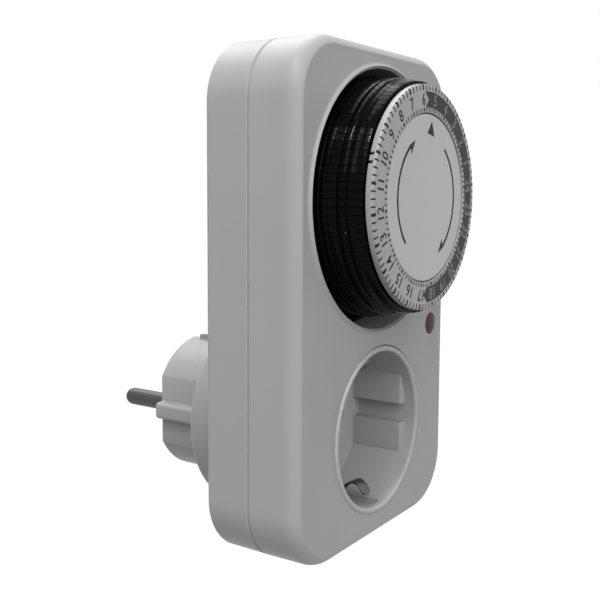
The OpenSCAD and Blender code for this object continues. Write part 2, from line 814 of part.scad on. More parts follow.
// Motor's two wires and the lamp's wire
module wiring() {
    motor_low = motor_z - sqrt(pow(motor_r, 2) - 25) - wire_r;
    y = bar_y - 1.5;
    x = lens_x - lead_x;
    neutral_x = pin_x + sleeve_out_r + 2.1;
    turn_x = x - 3.4;
    edge_z = plate_z0 + 0.2;
    color("saddlebrown") {
        wire([[5, y - 2, motor_low], [6, y + 0.3, edge_z], [12, bar_y + 0.6, 12],
            [neutral_x, y_floor_back + 7, 6], [neutral_x, y_floor_back + 12,
            strip_w / 2 + wire_r]], wire_r);
        wire([[-5, y - 2, motor_low], [-7, y - 1, edge_z],
            [-18, bar_y - wire_r, leaf_z - 5.5]], wire_r);
        wire([[x, lead_y + 0.1, lens_z], [x, y - 1.5, lens_z], [turn_x, y - 1.6, lens_z - 1],
            [-10, y - 2, cup_r + 3.25], [lever_x + 4.5, y - 1, leaf_foot_z + 1],
            [lever_x + 0.3, bar_back_y - wire_r, leaf_foot_z - 4]], wire_r);
    }
}

// ---- Dial ----

// Dark liner of the dial's opening, with an inner lip around the tabs
module dial_bezel() {
    r1 = opening_r - run;
    r0 = r1 - 1.1;
    y1 = out(h_tab_low) + tab_travel - 0.4;
    color("dimgray") translate([0, 0, dial_z]) spun() polygon([
        [r0, out(-0.7)], [r1, out(-0.7)], [r1, y_in_front], [r1 + 2.1, y_in_front],
        [r1 + 2.1, y_in_front + 1], [r1, y_in_front + 1], [r1, y1],
        [tab_r + 0.45, y1], [tab_r + 0.45, y1 - 1], [r0, y1 - 1]]);
}

// Outline of the drum's slotted rim: one slot for the key of each tab
module slotted_rim() {
    half = key_w / 2 + 0.1;
    polygon([for (i = [0:TABS - 1], s = [0:3]) let (
        r = (s == 1 || s == 2) ? slot_r : drum_r - slip,
        a = (i + 0.5) * tab_a + (s < 2 ? -1 : 1) * asin(half / r))
        polar(r, a)]);
}

module dial_drum() {
    hub_back = y_gear_back + spring_t + 0.9;
    color("black") translate([0, 0, dial_z]) difference() {
        union() {
            difference() {
                union() {
                    rod(drum_r, out(h_drum_low) - slot_end, out(h_drum_low));
                    slab(out(h_slot_top), out(h_slot_low)) slotted_rim();
                    rod(drum_r, out(h_ring), out(h_slot_top));
                }
                rod(rim_in_r, out(h_ring - web_t), out(h_drum_low) + 1);
            }
            rod(hub_r + 1.2, out(h_ring), y_gear);
            rod(hub_r, out(h_ring), hub_back);
        }
        rod(axle_r + slip, out(h_ring) - 1, hub_back + 1);
        spun() polygon([
            [hub_r - 0.5, y_gear_back], [hub_r + 1, y_gear_back],
            [hub_r + 1, y_gear_back + spring_t], [hub_r - 0.5, y_gear_back + spring_t]]);
    }
}

module dial_gear() {
    color("white") difference() {
        gear(dial_teeth, 0, y_gear, y_gear_back, 0, dial_z);
        rod(hub_r + slip, y_gear - 1, y_gear_back + 1, 0, dial_z);
    }
}

// Star washer that clips into the hub's groove and presses the gear against the drum
module friction_spring() {
    arms = 6;
    color("silver") translate([0, 0, dial_z]) slab(y_gear_back, y_gear_back + spring_t)
        difference() {
            union() {
                circle(hub_r + 1.6);
                for (i = [0:arms - 1]) rotate(i * 360 / arms) translate([hub_r + 1, -1])
                    square([4, 2]);
            }
            circle(hub_r - 0.5 + slip);
            translate([0, -hub_r * 0.6]) square([hub_r + 6, hub_r * 1.2]);
        }
}

// Printed hour ring
module dial_ring() {
    inner = ring_r - ring_w;
    color("whitesmoke") translate([0, 0, dial_z]) spun() polygon([
        [inner, out(h_ring)], [inner, out(dial_h)], [ring_r - 0.9, out(dial_h)],
        [ring_r, out(dial_h - 0.8)], [ring_r, out(h_ring + 0.3)],
        [ring_r - 0.3, out(h_ring)]]);
}

module centre_plate() {
    h0 = h_ring + mesh_gap;
    color("whitesmoke") translate([0, 0, dial_z]) difference() {
        spun() polygon([
            [0, out(h0)], [plate_r, out(h0)], [plate_r, out(dial_h - 0.4)],
            [plate_r - 0.2, out(dial_h - 0.2)], [0, out(dial_h - 0.2)]]);
        rod(nose_r + slip, out(h0 + nose_len), out(h0) + 1);
    }
}

module dial_axle() {
    hub_back = y_gear_back + spring_t + 0.9;
    h0 = h_ring + mesh_gap;
    color("silver") translate([0, 0, dial_z]) {
        rod(axle_r, out(h0), y_plate);
        rod(nose_r, out(h0 + nose_len - 0.1), out(h0));
        rod(shoulder_r, hub_back + 0.1, y_plate);
        rod(nose_r + 0.5, y_plate, y_plate_back);
    }
}

// One quarter-hour tab at the top of the dial: a ribbed block, cut to a wedge, with a key
module tab() {
    wedge_a = (tab_a - tab_gap_a) / 2;
    reach = tab_r + 2;
    // Steps of the outer face, each as [height below the tab's top, radius]
    steps = [
        [0, tab_r - 1.9], [1, tab_r - 1.3], [1.15, tab_r - 0.8], [2.7, tab_r - 0.8],
        [2.8, tab_r - 1.45], [3.5, tab_r - 1.4], [3.6, tab_r - 0.3], [5.9, tab_r - 0.3],
        [6.05, tab_r - 0.55], [6.3, tab_r - 0.5], [6.4, tab_r], [tab_len, tab_r]];
    key_top = h_slot_top - run;
    intersection() {
        across(-2, 2) polygon(concat(
            [for (s = steps) [out(h_tab_top - s[0]), s[1]]],
            [[out(h_tab_low), tab_in_r], [out(h_tab_top), tab_in_r]]));
        slab(out(h_tab_top) - 1, out(h_tab_low) + 1) polygon([
            [0, 0], [reach * tan(wedge_a), reach], [-reach * tan(wedge_a), reach]]);
    }
    block([-key_w / 2, out(key_top), slot_r + 0.15],
        [key_w / 2, out(key_top - key_len), tab_in_r + 0.3]);
}

// The four tabs of one hour; hours run against the clock's direction around the dial
module tab_group(hour) {
    per_hour = TABS / HOURS;
    color("black") translate([0, 0, dial_z]) for (i = [0:per_hour - 1])
        rotate([0, 82.5 - hour * 360 / HOURS - (i + 0.5) * tab_a, 0]) tab();
}

// ---- Movement ----

module movement_plate() {
    color("ivory") difference() {
        slab(y_plate, y_plate_back)
            rounded(plate_x0, plate_x1, plate_z0, plate_z1, plate_corner);
        rod(nose_r + 0.5 + slip, y_plate - 1, y_plate_back + 1, 0, dial_z);
        rod(idler_axle_r + slip, y_plate - 1, y_plate_back + 1, idler_x, idler_z);
        rod(output_teeth * gear_m / 2 + 1, y_plate - 1, y_plate_back + 1, output_x, output_z);
        for (p = POSTS) rod(plate_screw_r + slip, y_plate - 1, y_plate_back + 1, p.x,
            p.y);
        for (x = [-ear_x, ear_x]) rod(plate_screw_r + slip, y_plate - 1, y_plate_back + 1, x,
            motor_z);
    }
}

module plate_screws() {
    color("silver") {
        for (p = POSTS) plate_screw(p.x, p.y, post_screw_len);
        for (x = [-ear_x, ear_x]) plate_screw(x, motor_z, frame_t + 2);
    }
}

module plate_screw(x, z, length) {
    difference() {
        union() {
            rod(plate_screw_r, y_plate, y_plate + length, x, z);
            rod(plate_head_r, y_plate - plate_head_t, y_plate, x, z);
        }
        translate([x, y_plate - plate_head_t, z]) cube([3, plate_head_t, 0.6], center = true);
    }
}

module idler_gear() {
    color("white") difference() {
        union() {
            gear(idler_small, idler_turn, y_gear, y_wheel, idler_x, idler_z);
            gear(idler_large, idler_turn, y_wheel, y_wheel_back, idler_x, idler_z);
        }
        rod(idler_axle_r + slip, y_gear - 1, y_wheel_back + 1, idler_x, idler_z);
    }
}

module idler_axle() {
    color("silver") {
        rod(idler_axle_r, y_gear + 0.1, y_plate_back, idler_x, idler_z);
        rod(idler_axle_r + 1, y_wheel_back + 0.1, y_plate, idler_x, idler_z);
    }
}

module motor_can() {
    y1 = y_plate_back + motor_d;
    color("silver") difference() {
        union() {
            rod(motor_r, y_plate_back, y1, 0, motor_z);
            slab(y_plate_back, y_plate_back + can_t) {
                for (x = [-ear_x, ear_x]) translate([x, motor_z]) circle(ear_r);
                translate([-ear_x, motor_z - ear_r]) square(2 * [ear_x, ear_r]);
            }
        }
        rod(motor_r - can_t, y_plate_back + can_t, y1 - can_t, 0, motor_z);
        rod(output_shaft_r + slip, y_plate_back - 1, y_plate_back + 1, output_x, output_z);
        for (x = [-ear_x, ear_x])
            rod(plate_screw_r + slip, y_plate_back - 1, y_plate_back + 1, x, motor_z);
    }
}

module motor_coil() {
    y0 = y_plate_back + can_t + chamber_d;
    y1 = y_plate_back + motor_d - can_t;
    r1 = motor_r - can_t - 0.1;
    color("chocolate") translate([0, 0, motor_z]) spun() polygon([
        [coil_in_r, y0], [r1, y0], [r1, y0 + 0.5], [r1 - 1, y0 + 0.5], [r1 - 1, y1 - 0.6],
        [r1, y1 - 0.6], [r1, y1 - 0.1], [coil_in_r, y1 - 0.1]]);
}

module motor_rotor() {
    y0 = y_plate_back + can_t;
    y1 = y_plate_back + motor_d - can_t;
    color("dimgray") translate([0, 0, motor_z]) {
        rod(rotor_r, y0 + chamber_d, y1 - 0.4);
        rod(rotor_shaft_r, y0 + 0.1, y1 - 0.1);
    }
}

module motor_pinion() {
    y0 = y_wheel - 0.2;
    color("silver") {
        gear(output_teeth, output_turn, y0, y_plate - 0.3, output_x, output_z);
        rod(output_shaft_r, y0, y_plate_back + can_t + 2, output_x, output_z);
    }
}

// ---- Nodes ----

front_shell();
rear_shell();
case_screws();
plug_body();
plug_pins();
plug_earth_contacts();
socket_cup();
socket_floor();
socket_contacts();
socket_earth_clip();
live_in_bar();
live_out_bar();
neutral_bar();
moving_contact();
switch_base();
switch_lever();
lever_pin();
indicator_lens();
neon_lamp();
lamp_resistor();
wiring();
dial_bezel();
dial_drum();
dial_gear();
friction_spring();
dial_ring();
centre_plate();
dial_axle();
movement_plate();
plate_screws();
idler_gear();
idler_axle();
motor_can();
motor_coil();
motor_rotor();
motor_pinion();
for (hour = [1:HOURS]) {
    tab_group(hour);
}
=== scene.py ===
import json
import bpy
import bmesh
import numpy as np
from mathutils import Matrix
from mathutils.geometry import delaunay_2d_cdt


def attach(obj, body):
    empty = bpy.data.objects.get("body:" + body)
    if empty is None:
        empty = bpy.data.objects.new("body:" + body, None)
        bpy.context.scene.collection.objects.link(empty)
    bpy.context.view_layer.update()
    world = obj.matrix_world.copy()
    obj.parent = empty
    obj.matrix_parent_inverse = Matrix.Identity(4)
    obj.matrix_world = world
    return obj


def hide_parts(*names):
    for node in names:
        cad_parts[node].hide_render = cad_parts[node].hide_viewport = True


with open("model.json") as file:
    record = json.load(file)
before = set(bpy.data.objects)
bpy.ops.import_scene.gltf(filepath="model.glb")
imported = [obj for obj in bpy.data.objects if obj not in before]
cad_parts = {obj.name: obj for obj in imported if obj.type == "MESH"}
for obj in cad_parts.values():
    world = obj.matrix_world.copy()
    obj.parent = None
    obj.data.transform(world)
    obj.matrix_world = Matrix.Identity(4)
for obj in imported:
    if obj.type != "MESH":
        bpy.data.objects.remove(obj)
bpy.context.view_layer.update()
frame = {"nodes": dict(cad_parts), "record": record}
print("frame loaded:", len(frame["nodes"]), "nodes")

mm = 0.001                  # metres
dialCentre = (0.0, 58.2)    # X and Z of the dial's axis


# shapes are worked out in millimetres, and become metres when they are built
class Surface:
    # gathers grids and flat fills, then merges them into one mesh

    def __init__(self):
        self.points, self.faces, self.count = [], [], 0

    def keep(self, points, faces):
        # more points, and faces that count them from 0
        self.faces += (np.asarray(faces) + self.count).tolist()
        self.points.append(points)
        self.count += len(points)
        return self

    def grid(self, rows):
        # quads between the neighbours of an array (rows, columns, 3)
        rows = np.asarray(rows, float)
        r, c = rows.shape[:2]
        at = np.arange(r * c).reshape(r, c)
        quads = np.stack([at[:-1, :-1], at[:-1, 1:], at[1:, 1:], at[1:, :-1]], -1)
        return self.keep(rows.reshape(-1, 3), quads.reshape(-1, 4))

    def flat(self, y, *loops):
        # triangles across loops in X and Z at one depth, open inside every second loop
        flatPoints, triangles = fillLoops(*loops)
        points = np.column_stack([flatPoints[:, 0], np.full(len(flatPoints), y), flatPoints[:, 1]])
        return self.keep(points, triangles)

    def slab(self, yFront, yBack, *loops):
        # a thin plate between two depths
        self.flat(yFront, *loops).flat(yBack, *loops)
        for loop in loops:
            self.grid(walls([(loop, yFront), (loop, yBack)]))
        return self

    def build(self, name, body, material, nodes=(), crease=34, weld=0.002):
        # merges points that meet, turns faces outwards and keeps edges over crease degrees sharp
        mesh = bpy.data.meshes.new(name)
        mesh.from_pydata((np.vstack(self.points) * mm).tolist(), [], self.faces)
        work = bmesh.new()
        work.from_mesh(mesh)
        bmesh.ops.remove_doubles(work, verts=work.verts, dist=weld * mm)
        bmesh.ops.dissolve_degenerate(work, edges=work.edges, dist=0.2 * weld * mm)
        bmesh.ops.recalc_face_normals(work, faces=work.faces)
        work.to_mesh(mesh)
        work.free()
        mesh.shade_smooth()
        mesh.set_sharp_from_angle(angle=np.radians(crease))
        mesh.materials.append(material)
        piece = bpy.data.objects.new(name, mesh)
        bpy.context.collection.objects.link(piece)
        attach(piece, body)
        if nodes:
            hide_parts(*nodes)


def inside(points, loop):
    # a point is inside where a ray towards +X crosses the loop an odd number of times
    a, b = loop[None], np.roll(loop, -1, 0)[None]
    x, z = points[:, None, 0], points[:, None, 1]
    spans = (a[..., 1] > z) != (b[..., 1] > z)
    rise = np.where(b[..., 1] == a[..., 1], 1, b[..., 1] - a[..., 1])
    crossing = a[..., 0] + (z - a[..., 1]) * (b[..., 0] - a[..., 0]) / rise
    return (spans & (x < crossing)).sum(1) % 2 == 1


def fillLoops(*loops):
    # constrained triangles over all loops, of which those inside an odd number of loops stay
    points = np.vstack(loops)
    edges, start = [], 0
    for loop in loops:
        at = np.arange(len(loop)) + start
        edges += np.column_stack([at, np.roll(at, -1)]).tolist()
        start += len(loop)
    made = delaunay_2d_cdt(points.tolist(), edges, [], 0, 1e-5, False)
    flatPoints = np.array([v[:] for v in made[0]])
    triangles = np.array(made[2])
    middles = flatPoints[triangles].mean(1)
    stays = sum(inside(middles, loop).astype(int) for loop in loops) % 2 == 1
    return flatPoints, triangles[stays]


def circle(radius, centre=(0, 0), steps=120):
    # radius times the cosine and sine of evenly spaced angles
    t = np.arange(steps) * 2 * np.pi / steps
    return np.column_stack([centre[0] + radius * np.cos(t), centre[1] + radius * np.sin(t)])


def roundLoop(corners, radius, steps=14):
    # each corner becomes the arc that touches both sides, swept between the touching points
    p = np.asarray(corners, float)
    before, after = np.roll(p, 1, 0) - p, np.roll(p, -1, 0) - p
    before /= np.linalg.norm(before, axis=1)[:, None]
    after /= np.linalg.norm(after, axis=1)[:, None]
    half = np.arccos(np.clip((before * after).sum(1), -1, 1))[:, None] / 2
    radius = np.broadcast_to(np.asarray(radius, float), len(p))[:, None]
    middle = before + after
    middle /= np.linalg.norm(middle, axis=1)[:, None]
    centre = p + middle * radius / np.sin(half)
    first = (p + before * radius / np.tan(half) - centre)[:, None]
    last = (p + after * radius / np.tan(half) - centre)[:, None]
    turn = (np.pi - 2 * half)[..., None]
    t = np.linspace(0, 1, steps)[None, :, None]
    arcs = (np.sin((1 - t) * turn) * first + np.sin(t * turn) * last) / np.sin(turn)
    return (centre[:, None] + arcs).reshape(-1, 2)


def inset(loop, distance):
    # every side of an anticlockwise loop moves inwards, and corners stay mitred
    side = np.roll(loop, -1, 0) - loop
    normal = np.column_stack([-side[:, 1], side[:, 0]]) / np.linalg.norm(side, axis=1)[:, None]
    before = np.roll(normal, 1, 0)
    share = 1 + (normal * before).sum(1)[:, None]
    return loop + distance * (normal + before) / np.maximum(share, 0.15)  # no endless mitre


def closed(loop):
    # the loop with its first point once more at its end
    return np.vstack([loop, loop[:1]])


def walls(rows):
    # loops at depths, each closed on itself: an array (rows, points + 1, 3)
    rings = [(closed(loop), y) for loop, y in rows]
    return np.array([np.column_stack([ring[:, 0], np.full(len(ring), y), ring[:, 1]])
                     for ring, y in rings])


def capped(rows):
    # a tube's rows between two rows that lie in the middle of its end loops
    ends = [np.repeat(end.mean(1, keepdims=True), rows.shape[1], 1)
            for end in (rows[:1], rows[-1:])]
    return np.concatenate([ends[0], rows, ends[1]])


def lathe(profile, centre=(0, 0), steps=120):
    # a profile of radius and depth turned about an axis along Y
    profile = np.asarray(profile, float)
    t = np.arange(steps + 1) * 2 * np.pi / steps
    x = centre[0] + profile[:, :1] * np.cos(t)
    z = centre[1] + profile[:, :1] * np.sin(t)
    return np.stack([x, np.broadcast_to(profile[:, 1:], x.shape), z], -1)


def bend(centre, radius, start, end, steps=7):
    # points of an arc between two angles in degrees
    t = np.radians(np.linspace(start, end, steps))
    return np.column_stack([centre[0] + radius * np.cos(t), centre[1] + radius * np.sin(t)])


def ribbonAlong(path, width, thick, edge, ends):
    # a flat strip along a path in Y and Z: its rounded section is carried along the tangents
    step = np.gradient(path, axis=0)
    step /= np.linalg.norm(step, axis=1)[:, None]
    normal = np.column_stack([-step[:, 1], step[:, 0]])
    section = closed(roundLoop([(-width / 2, -thick / 2), (width / 2, -thick / 2),
                                (width / 2, thick / 2), (-width / 2, thick / 2)], edge, 4))
    x = section[None, :, 0] * ends[:, None]
    offset = section[None, :, 1, None] * normal[:, None] + path[:, None]
    return capped(np.stack([x, offset[..., 0], offset[..., 1]], -1))


class Value:
    # a shader socket that sums, differences and products can be written with

    def __init__(self, nodes, socket):
        self.nodes, self.socket = nodes, socket

    def maths(self, operation, a, b):
        return self.nodes.node("ShaderNodeMath", {"operation": operation}, {0: a, 1: b})

    def __add__(self, other): return self.maths("ADD", self, other)
    def __radd__(self, other): return self.maths("ADD", other, self)
    def __sub__(self, other): return self.maths("SUBTRACT", self, other)
    def __rsub__(self, other): return self.maths("SUBTRACT", other, self)
    def __mul__(self, other): return self.maths("MULTIPLY", self, other)
    def __rmul__(self, other): return self.maths("MULTIPLY", other, self)


class Nodes:
    # a tree of shader nodes, in a material or in the world

    def __init__(self, tree):
        self.tree = tree

    def feed(self, socket, value):
        # a value of another node is linked, and a number or colour is written in
        if isinstance(value, Value):
            self.tree.links.new(value.socket, socket)
        else:
            socket.default_value = value

    def node(self, kind, settings, inputs, output=0):
        # one node: its settings first, then its sockets, and the output that is read
        made = self.tree.nodes.new(kind)
        for key, value in settings.items():
            setattr(made, key, value)
        for key, value in inputs.items():
            self.feed(made.inputs[key], value)
        return Value(self, made.outputs[output])

    def seenRays(self):
        # 1 for camera, mirror and glass rays, and 0 for the rest
        camera = self.node("ShaderNodeLightPath", {}, {}, "Is Camera Ray")
        rays = camera.socket.node.outputs
        mirror = Value(self, rays["Is Glossy Ray"])
        return camera + mirror + Value(self, rays["Is Transmission Ray"])


class Paint(Nodes):
    # one material: a Principled shader and the nodes that feed it

    def __init__(self, name, colour, roughness, **fixed):
        self.material = bpy.data.materials.new(name)
        self.material.use_nodes = True
        super().__init__(self.material.node_tree)
        self.shader = self.tree.nodes["Principled BSDF"]
        self.material.diffuse_color = (*colour, 1)
        self.set("Base Color", (*colour, 1))
        self.set("Roughness", roughness)
        for socket, value in fixed.items():
            self.set(socket.replace("_", " "), value)
        self.colour = colour
        self.place = self.node("ShaderNodeTexCoord", {}, {}, "Object")

    def set(self, socket, value):
        self.feed(self.shader.inputs[socket], value)

    def noise(self, size, detail=2.0, stretch=(1, 1, 1), rough=0.5):
        # noise whose grain is about size millimetres, drawn out along an axis by stretch
        scaled = self.node("ShaderNodeMapping", {}, {"Vector": self.place, "Scale": stretch})
        return self.node("ShaderNodeTexNoise", {}, {
            "Vector": scaled, "Scale": 1 / (size * mm), "Detail": detail, "Roughness": rough})

    def blend(self, factor, a, b):
        # between two colours, by a factor from 0 to 1
        return self.node("ShaderNodeMix", {"data_type": "RGBA"}, {0: factor, 6: a, 7: b}, 2)

    def tone(self, factor, low, high):
        # the material's colour, from low to high times its written shade
        dark = tuple(c * low for c in self.colour) + (1,)
        light = tuple(c * high for c in self.colour) + (1,)
        self.set("Base Color", self.blend(factor, dark, light))

    def bump(self, height, depth):
        # relief of depth millimetres
        self.set("Normal", self.node("ShaderNodeBump", {}, {
            "Height": height, "Distance": depth * mm, "Strength": 1.0}))


plasticGrain = {"driftSize": 22, "patchSize": 9, "patchShine": 0.12, "grainShine": 0.1}
metalGrain = {"dullSize": 2.5, "dullShare": 0.3, "dullShine": 0.25, "streakShine": 0.2}


def mouldedPlastic(name, colour, roughness, grain=0.25, relief=0.012, drift=0.04, **fixed):
    # fine eroded texture, slow drift of the shade, and patches that shine a little more
    paint = Paint(name, colour, roughness, **fixed)
    slow = paint.noise(plasticGrain["driftSize"], 3)
    fine = paint.noise(grain, 3)
    patches = (paint.noise(plasticGrain["patchSize"], 2) - 0.5) * plasticGrain["patchShine"]
    paint.tone(slow, 1 - drift, 1 + drift)
    paint.set("Roughness", roughness + patches + (fine - 0.5) * plasticGrain["grainShine"])
    paint.bump(fine, relief)
    return paint.material


def drawnMetal(name, colour, roughness, along=(1, 1, 1), size=0.5, contrast=0.35, relief=0.004):
    # long streaks from drawing or brushing, and dull patches
    paint = Paint(name, colour, roughness, Metallic=1.0)
    streaks = paint.noise(size, 4, along, 0.6)
    dull = paint.noise(metalGrain["dullSize"], 3)
    paint.tone(streaks * (1 - metalGrain["dullShare"]) + dull * metalGrain["dullShare"],
               1 - contrast, 1 + contrast)
    paint.set("Roughness", roughness + (dull - 0.5) * metalGrain["dullShine"]
              + (streaks - 0.5) * metalGrain["streakShine"])
    paint.bump(streaks, relief)
    return paint.material


finishes = {
    "shell": {"colour": (0.277, 0.277, 0.277), "roughness": 0.40, "grain": 0.4, "relief": 0.02,
              "Specular_IOR_Level": 0.22},
    # the socket's cup and floor take a paler copy of the shell's grey: painted light, which
    # lightens the shade inside the recess
    "cup": {"colour": (0.325, 0.325, 0.323), "roughness": 0.5, "grain": 0.4, "relief": 0.012,
            "Specular_IOR_Level": 0.25},
    "tabs": {"colour": (0.0014, 0.0014, 0.0016), "roughness": 0.1, "grain": 0.35, "relief": 0.010,
             "drift": 0.3, "Specular_IOR_Level": 0.045},
    # the liner's pale grey is partly painted light: set above the shell's grey to lighten the wall
    # deep in the opening's shade
    "bezel": {"colour": (0.47, 0.465, 0.44), "roughness": 0.4, "grain": 0.5, "relief": 0.006,
              "drift": 0.2, "Specular_IOR_Level": 0.4},
    "ring": {"colour": (0.25, 0.25, 0.25), "roughness": 0.36, "grain": 0.3, "relief": 0.005},
    "plate": {"colour": (0.35, 0.35, 0.35), "roughness": 0.40, "grain": 0.3, "relief": 0.005},
    "ink": {"colour": (0.004, 0.004, 0.0045), "roughness": 0.45, "grain": 0.12, "relief": 0.004,
            "drift": 0.25, "Specular_IOR_Level": 0.15},
    "night": {"colour": (0.019, 0.019, 0.0185), "roughness": 0.45, "grain": 0.12, "relief": 0.004,
              "drift": 0.15, "Specular_IOR_Level": 0.15},
    "nightDigit": {"colour": (0.15, 0.15, 0.148), "roughness": 0.45, "grain": 0.12,
                   "relief": 0.004, "Specular_IOR_Level": 0.15},
    "pin": {"colour": (0.085, 0.081, 0.075), "roughness": 0.44, "along": (1, 0.08, 1),
            "size": 0.45, "relief": 0.001},
    "clip": {"colour": (0.135, 0.131, 0.118), "roughness": 0.36, "along": (1, 0.15, 0.15),
             "size": 0.4},
}

shellPlastic = mouldedPlastic("shellPlastic", **finishes["shell"])
# a paler copy of the shell plastic for the socket: painted light
cupPaintedLightPlastic = mouldedPlastic("cupPaintedLightPlastic", **finishes["cup"])
tabPlastic = mouldedPlastic("tabPlastic", **finishes["tabs"])
# the liner's finish: a pale grey that is partly painted light
bezelPaintedLightPlastic = mouldedPlastic("bezelPaintedLightPlastic", **finishes["bezel"])
ringPlastic = mouldedPlastic("ringPlastic", **finishes["ring"])
platePlastic = mouldedPlastic("platePlastic", **finishes["plate"])
printInk = mouldedPlastic("printInk", **finishes["ink"])
nightInk = mouldedPlastic("nightInk", **finishes["night"])
nightDigitInk = mouldedPlastic("nightDigitInk", **finishes["nightDigit"])
pinNickel = drawnMetal("pinNickel", **finishes["pin"])
clipSteel = drawnMetal("clipSteel", **finishes["clip"])
print("outer finishes ready")


# the case's front and rear shells
case = {
    "halfWidth": 37.1, "bottom": -27.7, "top": 94.9,
    "cornerRadius": 15.2,
    "frontEdge": (4.0, 60, 0.8),  # radius as far as an angle in degrees, then the next radius
    "rearEdge": (1.1, 45, 1.1),
    "wall": 2.2, "sideWall": 1.1,
    "frontFace": -59.0, "seam": -45.8, "backFace": -33.5, "shoulder": -17.5,
    "draft": 0.0087,           # sideways lean of the walls per unit of depth
    "seamGap": 0.14, "seamDepth": 0.9, "seamBevel": 0.45, "rearBevel": 0.05, "seamInset": 0.01,
    "openingRadius": 32.1, "openingAt": (0.15, 57.5),
    "beadWidth": 1.25, "beadHeight": 0.65, "beadEdge": 0.35, "beadFlare": 1.7,
    "socketHole": 21.22, "socketHoleAt": (0.14, 0.1), "socketHoleEdge": 0.06,
    "lensHole": 2.95, "lensAt": (28.3, 23.45), "holeEdge": 0.15,
    "bossRadius": 25.2, "bossInner": 22.8, "bossEdge": 1.6, "bossFoot": 0.5, "bossWall": 2.0,
    "screwAt": [(-29.5, 87.3), (29.5, 87.3), (-29.5, -20.1), (29.5, -20.1)],
    "screwWell": 2.95, "screwWellDepth": 5.0, "screwHole": 1.55, "screwTube": 3.28,
    "support": 0.12,           # flat strip beside each rounding, which keeps its shading clean
}

caseLoop = roundLoop([(-case["halfWidth"], case["bottom"]), (case["halfWidth"], case["bottom"]),
                      (case["halfWidth"], case["top"]), (-case["halfWidth"], case["top"])],
                     case["cornerRadius"], 28)


def shellSkin(face, outwards):
    # outer rows from the seam to a face: bevel, leaning wall, rounding and a flat strip
    seam, gap, s = case["seam"], case["seamGap"], case["support"]
    bevel = case["seamBevel"] if outwards > 0 else case["rearBevel"]
    wide, split, tight = case["rearEdge"] if outwards > 0 else case["frontEdge"]
    turn = np.radians(np.concatenate([np.linspace(0, split, 9), np.linspace(split, 90, 7)[1:]]))
    first, rest = np.minimum(turn, np.radians(split)), np.maximum(turn, np.radians(split))
    split = np.radians(split)
    reach = wide * (1 - np.cos(first)) + tight * (np.cos(split) - np.cos(rest))
    drop = wide * (np.sin(split) - np.sin(first)) + tight * (1 - np.sin(rest))
    lean = case["draft"] * (abs(face - seam) - drop[0])
    rows = [(case["seamDepth"], seam), (case["seamDepth"], seam + outwards * gap),
            (bevel, seam + outwards * gap), (0.0, seam + outwards * (gap + bevel)),
            (case["seamInset"], seam + outwards * (gap + bevel + s)),
            (lean, face - outwards * (drop[0] + s)),
            *zip(lean + reach, face - outwards * drop), (lean + reach[-1] + s, face)]
    return [(inset(caseLoop, d), y) for d, y in rows]


def holeEdge(radius, face, into, end, edge=case["holeEdge"]):
    # a hole's lip in a flat face: a small rounding, then its wall down to end
    turn = np.radians(np.linspace(90, 0, 4))
    lip = np.column_stack([radius + edge * (1 - np.cos(turn)),
                           face + into * edge * (1 - np.sin(turn))])
    return np.vstack([lip, [[radius, end]]])


front = Surface()
frontRows = shellSkin(case["frontFace"], -1)
front.grid(walls(frontRows))
innerFront = case["frontFace"] + case["wall"]
# the bead rises from the face as a power of the way across, then rounds over into the opening
flare = np.linspace(0, 1, 10)
beadTop = case["frontFace"] - case["beadHeight"]
beadCrest = case["openingRadius"] + case["beadEdge"]
beadRise = np.column_stack([
    beadCrest + (case["beadWidth"] - case["beadEdge"]) * (1 - flare),
    case["frontFace"] - case["beadHeight"] * flare ** case["beadFlare"]])
beadProfile = np.vstack([
    beadRise, bend((beadCrest, beadTop + case["beadEdge"]), case["beadEdge"], 270, 180, 6)[1:],
    [[case["openingRadius"], innerFront]]])
front.grid(lathe(beadProfile, case["openingAt"], 192))
socketLip = holeEdge(case["socketHole"], case["frontFace"], 1, innerFront,
                     case["socketHoleEdge"])
lensLip = holeEdge(case["lensHole"], case["frontFace"], 1, innerFront)
front.grid(lathe(socketLip, case["socketHoleAt"], 144)).grid(lathe(lensLip, case["lensAt"], 48))
front.flat(case["frontFace"], frontRows[-1][0],
           circle(beadProfile[0, 0], case["openingAt"], 192),
           circle(socketLip[0, 0], case["socketHoleAt"], 144),
           circle(lensLip[0, 0], case["lensAt"], 48))
innerLoop = inset(caseLoop, case["sideWall"])
front.grid(walls([frontRows[0], (innerLoop, case["seam"]), (innerLoop, innerFront)]))
front.flat(innerFront, innerLoop, circle(case["openingRadius"], case["openingAt"], 192),
           circle(case["socketHole"], case["socketHoleAt"], 144),
           circle(case["lensHole"], case["lensAt"], 48))
front.build("frontShell", "root", shellPlastic, ["front_shell"])

plug = {
    "radius": 18.5, "flat": 16.2, "rib": 18.7, "ribHalf": 2.2, "ribFoot": 0.35, "ribEdge": 0.95,
    "slotHalf": 2.65, "slotFloor": 16.4, "slotEase": 3.5,    # degrees without points beside a slot
    "root": -20.5, "edge": 0.6, "wallStrip": 0.3, "faceStrip": 0.15, "holeGap": 0.1,
}


def plugLoop():
    # a quarter of the plug's outline, from the rib's middle to the slot's, mirrored twice
    r, x1, x2, h = plug["radius"], plug["flat"], plug["rib"], plug["ribHalf"]
    g, e = plug["ribFoot"], plug["ribEdge"]
    slotTop = np.sqrt(r ** 2 - plug["slotHalf"] ** 2)
    a0 = np.degrees(np.arccos(x1 / r))
    a1 = np.degrees(np.arctan2(slotTop, plug["slotHalf"]))
    quarter = np.vstack([
        [[x2, 0.0]], bend((x2 - e, h - e), e, 0, 90, 6), bend((x1 + g, h + g), g, 270, 180, 5),
        bend((0, 0), r, a0, a1 - plug["slotEase"], 25),
        [[plug["slotHalf"], slotTop], [plug["slotHalf"], plug["slotFloor"]]]])
    half = np.vstack([quarter, quarter[::-1] * (-1, 1)])
    return np.vstack([half, half[::-1][1:-1] * (1, -1)])


